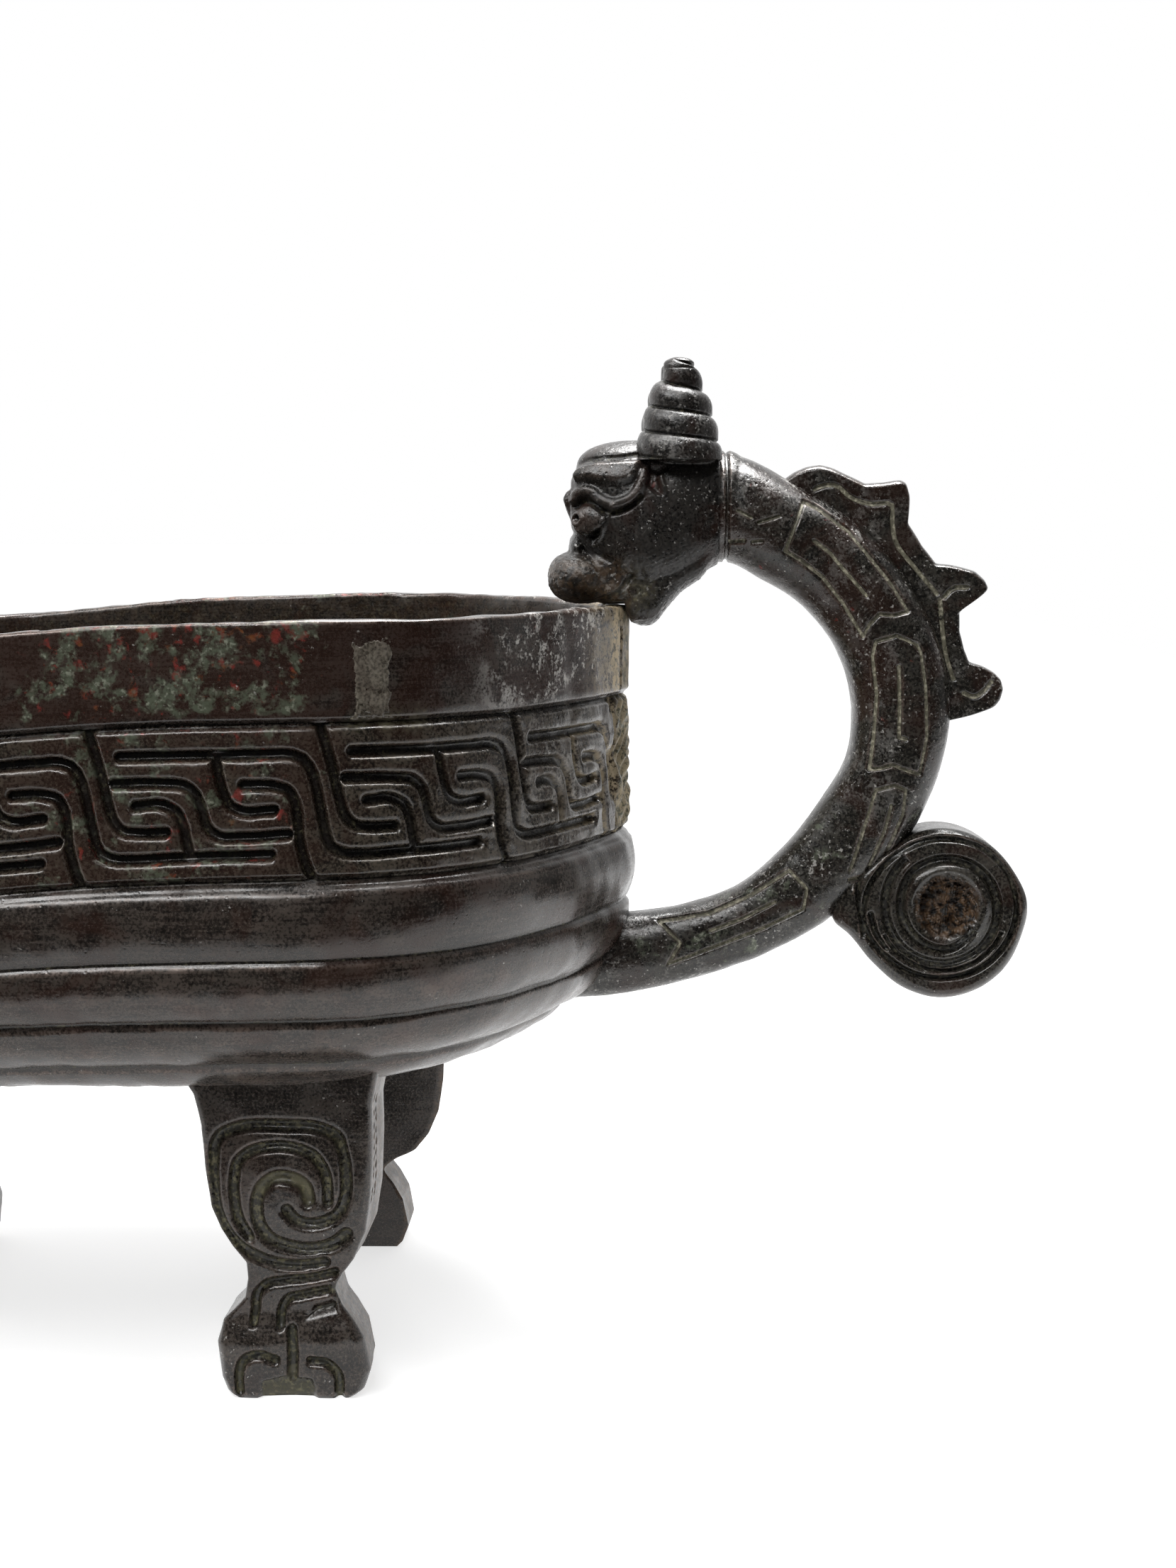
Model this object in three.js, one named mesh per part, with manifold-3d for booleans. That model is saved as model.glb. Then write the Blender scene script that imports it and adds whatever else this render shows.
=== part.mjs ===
// Bronze yi: a four-legged pouring vessel with a dragon handle that bites the rim.
// Millimetres, +Z up, +X toward the handle, spout toward -X.
// Inside this file x = 0 is the rear end of the rim; the finished group is then
// moved so that its origin lies under the middle of the whole vessel.

import * as THREE from 'three';
import { mergeVertices } from 'three/addons/utils/BufferGeometryUtils.js';
import Module from 'manifold-3d';

const wasm = await Module();
wasm.setup();

// Clearance between castings that were made one onto the other.
const CLEARANCE = 0.3;

// Neighbouring facets that depart less than this from one another are joined.
const FACET_TOLERANCE = 0.04;

// Bowl and spout
const BOWL_HALF_WIDTH = 69;
const WALL = 3.6;
const RIM_HEIGHT = 137;
const BASE_HEIGHT = 53;
const REAR_LENGTH = 70;
const SIDE_LENGTH = 56;
const SHOULDER_LENGTH = 76;
const SPOUT_LENGTH = 48;
const SPOUT_ROOT_HALF_WIDTH = 31;
const SPOUT_TIP_HALF_WIDTH = 27;
const SPOUT_TIP_DEPTH = 48;
const BANDS_SHARE_OF_DEPTH = 0.76;
const SPOUT_LIFT = 12;
const KEEL_RISE_LENGTH = 98;
const RIM_DIP = 5;
const REAR_TAPER = 3;
const REAR_BLUNTNESS = 0.9;
const RIM_BAND = 15.4;
const BORDER_GROOVE = 2.4;
const BORDER_GROOVE_DEPTH = 0.9;
const FRIEZE_HEIGHT = 23.4;
const TILE_BULGE = 1.3;
const TILE_EDGES = [0, 0.294, 0.551, 0.753, 0.921];
const SIDE_ROUNDING = 3.0;
const SPOUT_ROUNDING = 2.2;

// Frieze: a meander of hooked grooves. Repeats start at these distances from the rear
// end along the wall, and after the last of them at an even spacing.
const MEANDER_STARTS = [12, 51.8, 92.8, 130];
const MEANDER_REPEAT = 37.2;
const MEANDER_SEAM = 10;
const MEANDER_GROOVE = 2.0;
const MEANDER_DEPTH = 1.1;
const MEANDER_STEP = 10;

// Strokes of one repeat, in shares of its length (toward the handle) and of the height
// between the border grooves.
const MEANDER_STROKES = [
  [[0, 0.98], [0.17, 0.32], [0.44, 0.31]],
  [[0.21, 0.82], [0.99, 0.84], [1.12, 0.17], [1.92, 0.15]],
  [[0.63, 0.82], [0.67, 0.45], [0.9, 0.45]],
  [[0.16, 0.63], [0.49, 0.62], [0.6, 0.29], [0.94, 0.29]],
  [[0.29, 0.49], [0.45, 0.47], [0.53, 0.17]],
  [[0.75, 0.63], [0.95, 0.61], [1.06, 0.01]],
];

// Legs
const LEG_HEIGHT_OF_KNEE = 21.5;
const LEG_THICKNESS = 13;
const LEG_HALF_WIDTH = 16;
const KNEE_HALF_WIDTH = 8.2;
const FOOT_HALF_WIDTH = 13.6;
const FOOT_HEIGHT = 15;
const SOLE_HALF_WIDTH = 11.4;
const LEG_EDGE = 0.9;
const REAR_LEG_FROM_REAR = 59.7;
const FRONT_LEG_FROM_REAR = 148;
const REAR_LEG_SET_IN = 26.5;
const FRONT_LEG_SET_IN = 32;
const WHORL_RADIUS = 10.6;
const WHORL_GROOVE = 1.5;
const WHORL_DEPTH = 1.0;
const TOE_GROOVE = 1.6;
const LEG_TENON_LENGTH = 12;
const LEG_TENON_WIDTH = 5.5;
const LEG_TENON_DEPTH = 8;

// Handle: the dragon's body
const NECK_HALF_HEIGHT = 10.6;
const BODY_HALF_HEIGHT = 9.3;
const ARM_HALF_HEIGHT = 7.1;
const NECK_HALF_WIDTH = 9.4;
const BODY_HALF_WIDTH = 8.4;
const ARM_HALF_WIDTH = 6.6;
const LOOP_REACH = 51;
const LOOP_MIDDLE_SHARE = 0.554;
const NECK_JOINT_X = 15.8;
const NECK_BELOW_CROWN = 10.4;
const ARM_ABOVE_BASE = 16.8;
const CREST_THICKNESS = 4.6;
const TAIL_BEYOND_LOOP = 9;
const TAIL_ABOVE_ARM = 7.9;
const TAIL_RADIUS = 16.3;
const TAIL_HALF_WIDTH = 7.2;
const TAIL_GROOVE = 1.4;
const TAIL_GROOVE_DEPTH = 1.2;
const NECK_TENON_RADIUS = 5.6;
const NECK_TENON_DEPTH = 5;
const ARM_TENON_RADIUS = 4;
const ARM_TENON_DEPTH = 8;

// Head and horns
const HEAD_HALF_WIDTH = 12.6;
const JAW_HALF_WIDTH = 9.2;
const CROWN_ABOVE_RIM = 28.4;
const FOREHEAD_RISE = 1.8;
const HEAD_EDGE = 2.4;
const SNOUT_RADIUS = 4.6;
const SNOUT_X = -11.7;
const SNOUT_HALF_WIDTH = 10.2;
const EYE_RADIUS = 3.1;
const BROW_RADIUS = 1.5;
const NOSE_FIN_THICKNESS = 3.4;
const EAR_THICKNESS = 1.6;
const HORN_X = 8.4;
const HORN_SPREAD = 7.5;
const HORN_RADIUS = 7.0;
const HORN_TIP_RADIUS = 2.7;
const HORN_HEIGHT = 17.3;
const HORN_TIERS = 3.6;
const HORN_PEG_RADIUS = 3;
const HORN_PEG_DEPTH = 4;

// Cast-in spacer of older metal, flush in the rim band
const SPACER_FROM_REAR = 43.2;
const SPACER_DROP = 10;
const SPACER_WIDTH = 5.7;
const SPACER_HEIGHT = 11;

const BRONZE = { color: 0x3a322b, roughness: 0.48, metalness: 0.85 };
const BRONZE_GREEN = { color: 0x4a4a3c, roughness: 0.6, metalness: 0.75 };

const SPOUT_TIP_X = -(REAR_LENGTH + SIDE_LENGTH + SHOULDER_LENGTH + SPOUT_LENGTH);
const CROWN_HEIGHT = RIM_HEIGHT + CROWN_ABOVE_RIM;
const NECK_JOINT_HEIGHT = CROWN_HEIGHT - NECK_BELOW_CROWN;
const ARM_ROOT_HEIGHT = BASE_HEIGHT + ARM_ABOVE_BASE;
const TAIL_X = LOOP_REACH + TAIL_BEYOND_LOOP;
const TAIL_HEIGHT = ARM_ROOT_HEIGHT + TAIL_ABOVE_ARM;
const TAIL_END_X = TAIL_X + TAIL_RADIUS;
const FRIEZE_TOP = RIM_BAND + BORDER_GROOVE;
const FRIEZE_BOTTOM = FRIEZE_TOP + FRIEZE_HEIGHT;
const TILES_TOP = FRIEZE_BOTTOM + BORDER_GROOVE;

const REAR_LEG_SPREAD = BOWL_HALF_WIDTH - REAR_LEG_SET_IN;
const FRONT_LEG_SPREAD = BOWL_HALF_WIDTH - FRONT_LEG_SET_IN;

const clamp01 = (t) => Math.min(1, Math.max(0, t));
const smooth = (t) => clamp01(t) ** 2 * (3 - 2 * clamp01(t));
const mix = (a, b, t) => a + (b - a) * t;

const LOOP_MIDDLE_HEIGHT = mix(ARM_ROOT_HEIGHT, NECK_JOINT_HEIGHT, LOOP_MIDDLE_SHARE);

// Solids: three.js geometry to manifold and back

function toSolid(geometry) {
  const bare = geometry.clone();
  bare.deleteAttribute('normal');
  bare.deleteAttribute('uv');
  const merged = mergeVertices(bare, 1e-3);
  const corners = merged.index.array;
  const kept = [];
  for (let i = 0; i < corners.length; i += 3) {
    const [a, b, c] = [corners[i], corners[i + 1], corners[i + 2]];
    if (a !== b && b !== c && c !== a) kept.push(a, b, c);
  }
  return new wasm.Manifold(new wasm.Mesh({
    numProp: 3,
    vertProperties: new Float32Array(merged.attributes.position.array),
    triVerts: new Uint32Array(kept),
  }));
}

function toMesh(name, solid, finish) {
  const joined = solid.asOriginal().simplify(FACET_TOLERANCE);
  const { numProp, vertProperties, triVerts } = joined.getMesh();
  const positions = [];
  for (let i = 0; i < vertProperties.length; i += numProp) {
    positions.push(vertProperties[i], vertProperties[i + 1], vertProperties[i + 2]);
  }
  const geometry = new THREE.BufferGeometry();
  geometry.setAttribute('position', new THREE.Float32BufferAttribute(positions, 3));
  geometry.setIndex([...triVerts]);
  geometry.computeVertexNormals();
  const mesh = new THREE.Mesh(geometry, new THREE.MeshStandardMaterial(finish));
  mesh.name = name;
  return mesh;
}

const union = (solids) => solids.reduce((whole, solid) => whole.add(solid));

// A loft through rings of equal count, closed at both ends by fans.
function loft(rings) {
  const count = rings[0].length;
  const positions = rings.flat().flatMap((p) => [p.x, p.y, p.z]);
  const index = [];
  for (let r = 0; r + 1 < rings.length; r += 1) {
    for (let i = 0; i < count; i += 1) {
      const j = (i + 1) % count;
      const [a, b] = [r * count + i, r * count + j];
      index.push(a, b, b + count, a, b + count, a + count);
    }
  }
  for (const [ring, first, turned] of [[rings[0], 0, true],
    [rings.at(-1), (rings.length - 1) * count, false]]) {
    const middle = positions.length / 3;
    const centre = ring.reduce((sum, p) => sum.add(p), new THREE.Vector3());
    centre.divideScalar(count);
    positions.push(centre.x, centre.y, centre.z);
    for (let i = 0; i < count; i += 1) {
      const [a, b] = [first + i, first + (i + 1) % count];
      index.push(...(turned ? [middle, b, a] : [middle, a, b]));
    }
  }
  const geometry = new THREE.BufferGeometry();
  geometry.setAttribute('position', new THREE.Float32BufferAttribute(positions, 3));
  geometry.setIndex(index);
  return geometry;
}

// A plate drawn in the vessel's side view (x to the right, y up) and given a
// thickness across the vessel, centred on the plane y = across.
function plate(shape, thickness, across, edge = 0, curveSegments = 4) {
  const geometry = new THREE.ExtrudeGeometry(shape, {
    depth: thickness - 2 * edge,
    bevelEnabled: edge > 0,
    bevelThickness: edge,
    bevelSize: edge,
    bevelOffset: -edge,
    bevelSegments: edge > 1 ? 2 : 1,
    curveSegments,
  });
  geometry.translate(0, 0, edge - thickness / 2);
  geometry.rotateX(Math.PI / 2);
  geometry.translate(0, across, 0);
  return toSolid(geometry);
}

function pin(radius, from, to, sides = 14) {
  const along = to.clone().sub(from);
  const geometry = new THREE.CylinderGeometry(radius, radius, along.length(), sides);
  const turn = new THREE.Quaternion().setFromUnitVectors(
    new THREE.Vector3(0, 1, 0), along.clone().normalize());
  geometry.applyQuaternion(turn);
  geometry.translate(...from.clone().add(to).multiplyScalar(0.5).toArray());
  return toSolid(geometry);
}

function block(sizeX, sizeY, sizeZ, x, y, z) {
  const geometry = new THREE.BoxGeometry(sizeX, sizeY, sizeZ);
  geometry.translate(x, y, z);
  return toSolid(geometry);
}

// A ribbon that winds inward, drawn flat; used to carve coils and whorls.
function spiralRibbon(outer, inner, turns, start, width, steps) {
  const edge = (side) => Array.from({ length: steps + 1 }, (_, i) => {
    const t = i / steps;
    const angle = start + turns * 2 * Math.PI * t;
    const radius = mix(outer, inner, t) + side * width / 2;
    return new THREE.Vector2(radius * Math.cos(angle), radius * Math.sin(angle));
  });
  return new THREE.Shape([...edge(1), ...edge(-1).reverse()]);
}

// Bowl: plan, rim line and keel

function halfWidthAt(x) {
  const side = -REAR_LENGTH - SIDE_LENGTH;
  const shoulder = side - SHOULDER_LENGTH;
  if (x >= shoulder) {
    const t = smooth((side - x) / SHOULDER_LENGTH);
    return mix(BOWL_HALF_WIDTH, SPOUT_ROOT_HALF_WIDTH, t);
  }
  return mix(SPOUT_ROOT_HALF_WIDTH, SPOUT_TIP_HALF_WIDTH, (shoulder - x) / SPOUT_LENGTH);
}

function rimHeightAt(x) {
  const reach = SHOULDER_LENGTH + SPOUT_LENGTH;
  const dipCentre = -REAR_LENGTH - SIDE_LENGTH - 0.25 * SHOULDER_LENGTH;
  const dip = RIM_DIP * Math.exp(-(((x - dipCentre) / (0.6 * SHOULDER_LENGTH)) ** 2));
  const lift = SPOUT_LIFT * smooth((SPOUT_TIP_X + 0.8 * reach - x) / (0.8 * reach));
  return RIM_HEIGHT - dip + lift;
}

function keelHeightAt(x) {
  const reach = KEEL_RISE_LENGTH;
  const tip = rimHeightAt(SPOUT_TIP_X) - SPOUT_TIP_DEPTH;
  return mix(BASE_HEIGHT, tip, smooth((SPOUT_TIP_X + reach - x) / reach));
}

// How square the lower wall is: full under the bowl, rounder under the spout.
function roundingAt(x) {
  const reach = SHOULDER_LENGTH + SPOUT_LENGTH;
  return mix(SIDE_ROUNDING, SPOUT_ROUNDING, smooth((SPOUT_TIP_X + reach - x) / reach));
}

// The bands draw closer together where the spout is shallower than the bowl.
function bandScaleAt(x) {
  const depth = rimHeightAt(x) - keelHeightAt(x);
  return Math.min(1, BANDS_SHARE_OF_DEPTH * depth / TILES_TOP);
}

// Sections along the spout and side, and round the rear.
const RIM_STEPS = [18, 13];

// Rim points of the near half, from spout tip to rear end, with the keel point
// that each section runs down to.
function rimStations(sideSteps, rearSteps) {
  const stations = [];
  for (let i = 0; i < sideSteps; i += 1) {
    const x = mix(SPOUT_TIP_X, -REAR_LENGTH, i / sideSteps);
    stations.push({ x, y: -halfWidthAt(x), keelX: x });
  }
  for (let i = 0; i <= rearSteps; i += 1) {
    const share = 1 - (1 - i / rearSteps) ** 1.5;
    const x = REAR_LENGTH * (share - 1);
    const y = -BOWL_HALF_WIDTH * (1 - share ** REAR_TAPER) ** REAR_BLUNTNESS;
    stations.push({ x, y, keelX: -REAR_LENGTH });
  }
  return stations;
}

// Outward direction of the rim in plan at each station.
function withNormals(stations) {
  return stations.map((s, i) => {
    const a = stations[Math.max(0, i - 1)];
    const b = stations[Math.min(stations.length - 1, i + 1)];
    const last = i === stations.length - 1;
    const normal = last ? new THREE.Vector2(1, 0)
      : new THREE.Vector2(b.y - a.y, a.x - b.x).normalize();
    return { ...s, normal };
  });
}

// Rows of the outer wall: depth below the rim for the bands, then the tiles.
function outerRows() {
  const rows = [{ drop: 0 }, { drop: RIM_BAND }];
  rows.push({ drop: RIM_BAND + BORDER_GROOVE / 2, sink: BORDER_GROOVE_DEPTH });
  rows.push({ drop: FRIEZE_TOP }, { drop: FRIEZE_BOTTOM });
  rows.push({ drop: FRIEZE_BOTTOM + BORDER_GROOVE / 2, sink: BORDER_GROOVE_DEPTH });
  for (let i = 0; i + 1 < TILE_EDGES.length; i += 1) {
    for (const t of [0, 0.28, 0.7]) {
      const bulge = TILE_BULGE * Math.sin(Math.PI * t);
      rows.push({ share: mix(TILE_EDGES[i], TILE_EDGES[i + 1], t), sink: -bulge });
    }
  }
  return [...rows, { share: TILE_EDGES.at(-1) }, { share: 0.985 }, { share: 1 }];
}

const innerRows = () => [{ drop: 0 }, { drop: FRIEZE_TOP }, { drop: TILES_TOP },
  ...[0.3, 0.55, 0.75, 0.9, 0.98, 1].map((share) => ({ share }))];

// One section of the wall, from the rim down to the keel, moved outward by grow.
function sectionPoints(station, rows, grow, rimLift) {
  const rim = rimHeightAt(station.x);
  const keel = keelHeightAt(station.keelX) - grow;
  const rounding = roundingAt(station.keelX);
  const rimX = station.x + station.normal.x * grow;
  const rimY = station.y + station.normal.y * grow;
  const bands = bandScaleAt(station.keelX);
  const tilesTop = bands * TILES_TOP;
  const tilesDepth = rim - tilesTop - keel;
  return rows.map((row, i) => {
    const share = row.share ?? 0;
    const drop = row.share === undefined ? row.drop * bands : tilesTop + share * tilesDepth;
    const inward = share === 1 ? 0 : (1 - share ** rounding) ** (1 / rounding);
    const lean = Math.atan2(1 - inward, 1 - share + 0.2);
    const sink = (row.sink ?? 0) * Math.min(1, tilesDepth / (RIM_HEIGHT - TILES_TOP - BASE_HEIGHT));
    return new THREE.Vector3(
      mix(station.keelX, rimX, inward) - station.normal.x * sink * Math.cos(lean),
      mix(0, rimY, inward) - station.normal.y * sink * Math.cos(lean),
      rim - drop + sink * Math.sin(lean) + (i === 0 ? rimLift : 0),
    );
  });
}

// The skin between sections, near half then far half; the keel joins by merging.
function wallSkin(sections, turned) {
  const positions = [];
  const far = sections.slice(0, -1).reverse()
    .map((points) => points.map((p) => new THREE.Vector3(p.x, -p.y, p.z)));
  const all = [...sections, ...far];
  const rows = sections[0].length;
  const add = (...points) => points.forEach((p) => positions.push(p.x, p.y, p.z));
  for (let i = 0; i + 1 < all.length; i += 1) {
    for (let r = 0; r + 1 < rows; r += 1) {
      const [a, b, c, d] = [all[i][r], all[i + 1][r], all[i + 1][r + 1], all[i][r + 1]];
      if (turned) add(a, b, c, a, c, d);
      else add(a, c, b, a, d, c);
    }
  }
  return { positions, all, add };
}

// The end face at the spout's lip, laced between two edges of unequal count.
function lipFace(edge, facing) {
  const corners = [];
  let [i, j] = [0, 0];
  while (i + 1 < edge.length || j + 1 < facing.length) {
    const edgeNext = i + 1 < edge.length ? edge[i + 1].z : -Infinity;
    const facingNext = j + 1 < facing.length ? facing[j + 1].z : -Infinity;
    if (edgeNext >= facingNext) {
      corners.push(edge[i + 1], edge[i], facing[j]);
      i += 1;
    } else {
      corners.push(edge[i], facing[j], facing[j + 1]);
      j += 1;
    }
  }
  return corners;
}

// The wall as a shell, grown on every side, or as a filled form without a hollow.
function bowlForm({ grow = 0, filled = false }) {
  const stations = withNormals(rimStations(...RIM_STEPS));
  const outer = wallSkin(stations.map((s) => sectionPoints(s, outerRows(), grow, grow)), false);
  const inset = -WALL - grow;
  const inner = filled ? null
    : wallSkin(stations.map((s) => sectionPoints(s, innerRows(), inset, grow)), true);
  const positions = [...outer.positions, ...(inner ? inner.positions : [])];
  const add = (...points) => points.forEach((p) => positions.push(p.x, p.y, p.z));
  const count = outer.all.length;
  if (inner) {
    for (let i = 0; i + 1 < count; i += 1) {
      const [a, b] = [outer.all[i][0], outer.all[i + 1][0]];
      const [c, d] = [inner.all[i + 1][0], inner.all[i][0]];
      add(a, b, c, a, c, d);
    }
  } else {
    for (let i = 0; i + 1 < count / 2; i += 1) {
      const [a, b] = [outer.all[i][0], outer.all[i + 1][0]];
      const [c, d] = [outer.all[count - 2 - i][0], outer.all[count - 1 - i][0]];
      add(a, b, c, a, c, d);
    }
  }
  const facing = inner ? inner.all[0] : outer.all.at(-1);
  lipFace(outer.all[0], facing).forEach((p) => add(p));
  if (inner) {
    lipFace(outer.all.at(-1), inner.all.at(-1)).reverse().forEach((p) => add(p));
  }
  const geometry = new THREE.BufferGeometry();
  geometry.setAttribute('position', new THREE.Float32BufferAttribute(positions, 3));
  return toSolid(geometry);
}

// Distance from the rear end of a place counted in repeats of the meander.
function meanderPlace(count) {
  const i = Math.min(Math.max(0, Math.floor(count)), MEANDER_STARTS.length - 1);
  const start = MEANDER_STARTS[i];
  const next = MEANDER_STARTS[i + 1] ?? start + MEANDER_REPEAT;
  return mix(start, next, count - i);
}

// The near wall rolled out flat: gives the place of a point by its distance from the
// rear end, its height above the lower border groove and how far it stands off.
function nearWall() {
  const path = withNormals(rimStations(...RIM_STEPS)).reverse();
  const arcs = [0];
  for (let i = 1; i < path.length; i += 1) {
    arcs.push(arcs[i - 1] + Math.hypot(path[i].x - path[i - 1].x, path[i].y - path[i - 1].y));
  }
  const low = TILES_TOP - BORDER_GROOVE / 2;
  const at = (station, up, out) => new THREE.Vector3(
    station.x + station.normal.x * out,
    station.y + station.normal.y * out,
    rimHeightAt(station.x) - bandScaleAt(station.keelX) * (low - up),
  );
  const place = (along, up, out) => {
    const next = Math.max(1, arcs.findIndex((arc) => arc >= along));
    const share = (along - arcs[next - 1]) / (arcs[next] - arcs[next - 1]);
    return at(path[next - 1], up, out).lerp(at(path[next], up, out), share);
  };
  return { place, length: arcs.at(-1) };
}

// A V-shaped groove along a stroke, as a solid that is cut out of the wall.
function strokeCutter(points, place) {
  const over = MEANDER_DEPTH / 2;
  const half = (MEANDER_GROOVE / 2) * (MEANDER_DEPTH + over) / MEANDER_DEPTH;
  const rings = points.map(([along, up], i) => {
    const from = points[Math.max(0, i - 1)];
    const to = points[Math.min(points.length - 1, i + 1)];
    const run = new THREE.Vector2(to[0] - from[0], to[1] - from[1]).normalize();
    return [[-half, over], [half, over], [0, -MEANDER_DEPTH]].map(
      ([side, out]) => place(along - run.y * side, up + run.x * side, out));
  });
  return toSolid(loft(rings));
}

// All the meander's grooves on the near wall, from the rear seam to the spout.
function meanderCutter() {
  const { place, length } = nearWall();
  const height = FRIEZE_HEIGHT + BORDER_GROOVE;
  const margin = MEANDER_GROOVE;
  const onWall = ([along]) => along > MEANDER_SEAM && along < length - margin;
  const grooves = [];
  for (let repeat = 0; meanderPlace(repeat - 2) < length; repeat += 1) {
    for (const stroke of MEANDER_STROKES) {
      const corners = stroke.map(([share, climb]) => [meanderPlace(repeat - share), climb * height]);
      const points = corners.flatMap((corner, i) => {
        const before = corners[i - 1] ?? corner;
        const steps = Math.max(1, Math.round(Math.abs(corner[0] - before[0]) / MEANDER_STEP));
        return Array.from({ length: steps }, (_, k) => [0, 1].map(
          (axis) => mix(before[axis], corner[axis], (k + 1) / steps)));
      }).filter(onWall);
      if (points.length > 1) grooves.push(strokeCutter(points, place));
    }
  }
  return wasm.Manifold.union(grooves);
}

// Height of the outer underside at a place under the bowl's straight part.
function undersideAt(x, y) {
  const rounding = roundingAt(x);
  const across = clamp01(Math.abs(y) / halfWidthAt(x));
  const share = (1 - across ** rounding) ** (1 / rounding);
  const top = rimHeightAt(x) - bandScaleAt(x) * TILES_TOP;
  return mix(top, keelHeightAt(x), share);
}

// Legs

function legOutline() {
  const knee = LEG_HEIGHT_OF_KNEE;
  const top = mix(BASE_HEIGHT, RIM_HEIGHT, 0.26);
  const calf = mix(knee, BASE_HEIGHT, 0.19);
  const thigh = mix(knee, BASE_HEIGHT, 0.63);
  const ankle = mix(FOOT_HEIGHT, knee, 0.5);
  const shape = new THREE.Shape();
  shape.moveTo(-SOLE_HALF_WIDTH, 0);
  shape.lineTo(SOLE_HALF_WIDTH, 0);
  shape.quadraticCurveTo(FOOT_HALF_WIDTH, 0.14 * FOOT_HEIGHT, FOOT_HALF_WIDTH, 0.45 * FOOT_HEIGHT);
  shape.quadraticCurveTo(FOOT_HALF_WIDTH, 0.8 * FOOT_HEIGHT, 1.12 * KNEE_HALF_WIDTH, FOOT_HEIGHT);
  shape.quadraticCurveTo(0.83 * KNEE_HALF_WIDTH, ankle, KNEE_HALF_WIDTH, knee);
  shape.quadraticCurveTo(0.94 * LEG_HALF_WIDTH, calf, 0.96 * LEG_HALF_WIDTH, thigh);
  shape.lineTo(LEG_HALF_WIDTH, BASE_HEIGHT);
  shape.lineTo(1.19 * LEG_HALF_WIDTH, top);
  shape.lineTo(-1.19 * LEG_HALF_WIDTH, top);
  shape.lineTo(-LEG_HALF_WIDTH, BASE_HEIGHT);
  shape.lineTo(-0.96 * LEG_HALF_WIDTH, thigh);
  shape.quadraticCurveTo(-0.94 * LEG_HALF_WIDTH, calf, -KNEE_HALF_WIDTH, knee);
  shape.quadraticCurveTo(-0.83 * KNEE_HALF_WIDTH, ankle, -1.12 * KNEE_HALF_WIDTH, FOOT_HEIGHT);
  shape.quadraticCurveTo(-FOOT_HALF_WIDTH, 0.8 * FOOT_HEIGHT, -FOOT_HALF_WIDTH, 0.45 * FOOT_HEIGHT);
  shape.quadraticCurveTo(-FOOT_HALF_WIDTH, 0.14 * FOOT_HEIGHT, -SOLE_HALF_WIDTH, 0);
  return shape;
}

// Stub under the bowl that a leg was cast over.
function legTenon(x, y, grow) {
  const top = undersideAt(x, y) + WALL * 0.5;
  const low = undersideAt(x, y) - LEG_TENON_DEPTH - grow;
  return block(LEG_TENON_LENGTH + 2 * grow, LEG_TENON_WIDTH + 2 * grow, top - low,
    x, y, (top + low) / 2);
}

function legSolid(x, side, spread, bowlCutter) {
  const face = spread + LEG_THICKNESS / 2;
  const whorlHeight = mix(LEG_HEIGHT_OF_KNEE, BASE_HEIGHT, 0.45);
  const blank = plate(legOutline(), LEG_THICKNESS, 0, LEG_EDGE).translate([x, side * spread, 0]);
  const whorl = spiralRibbon(WHORL_RADIUS, WHORL_RADIUS * 0.3, 1.6, -2.2, WHORL_GROOVE, 26);
  const carving = plate(whorl, 2 * WHORL_DEPTH, 0).translate([x, side * face, whorlHeight]);
  const toes = block(TOE_GROOVE, 2 * WHORL_DEPTH, FOOT_HEIGHT * 0.6, x, side * face, FOOT_HEIGHT * 0.45);
  return blank.subtract(carving).subtract(toes).subtract(bowlCutter)
    .subtract(legTenon(x, side * spread, CLEARANCE));
}

// Handle

// Centre line of the dragon's body in side view, with its half height and half width.
function bodyStations() {
  const x = (share) => share * LOOP_REACH;
  const rise = NECK_JOINT_HEIGHT - LOOP_MIDDLE_HEIGHT;
  const fall = LOOP_MIDDLE_HEIGHT - ARM_ROOT_HEIGHT;
  const up = (share) => LOOP_MIDDLE_HEIGHT + share * rise;
  const down = (share) => LOOP_MIDDLE_HEIGHT - share * fall;
  const start = NECK_JOINT_X + CLEARANCE;
  return [
    [start, NECK_JOINT_HEIGHT, NECK_HALF_HEIGHT, NECK_HALF_WIDTH],
    [mix(start, LOOP_REACH, 0.2), up(0.94), 0.9 * NECK_HALF_HEIGHT, NECK_HALF_WIDTH],
    [x(0.71), up(0.75), BODY_HALF_HEIGHT, BODY_HALF_WIDTH],
    [x(0.87), up(0.52), BODY_HALF_HEIGHT, BODY_HALF_WIDTH],
    [x(0.965), up(0.26), BODY_HALF_HEIGHT, BODY_HALF_WIDTH],
    [x(1), LOOP_MIDDLE_HEIGHT, BODY_HALF_HEIGHT, BODY_HALF_WIDTH],
    [x(0.965), down(0.24), 0.94 * BODY_HALF_HEIGHT, BODY_HALF_WIDTH],
    [x(0.85), down(0.47), 0.94 * BODY_HALF_HEIGHT, 0.95 * BODY_HALF_WIDTH],
    [x(0.65), down(0.71), mix(BODY_HALF_HEIGHT, ARM_HALF_HEIGHT, 0.6), 1.1 * ARM_HALF_WIDTH],
    [x(0.46), down(0.85), ARM_HALF_HEIGHT, ARM_HALF_WIDTH],
    [x(0.23), down(0.94), ARM_HALF_HEIGHT, ARM_HALF_WIDTH],
    [x(-0.1), down(1), 1.08 * ARM_HALF_HEIGHT, ARM_HALF_WIDTH],
    [x(-0.3), down(1.02), 1.08 * ARM_HALF_HEIGHT, ARM_HALF_WIDTH],
  ];
}

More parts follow.
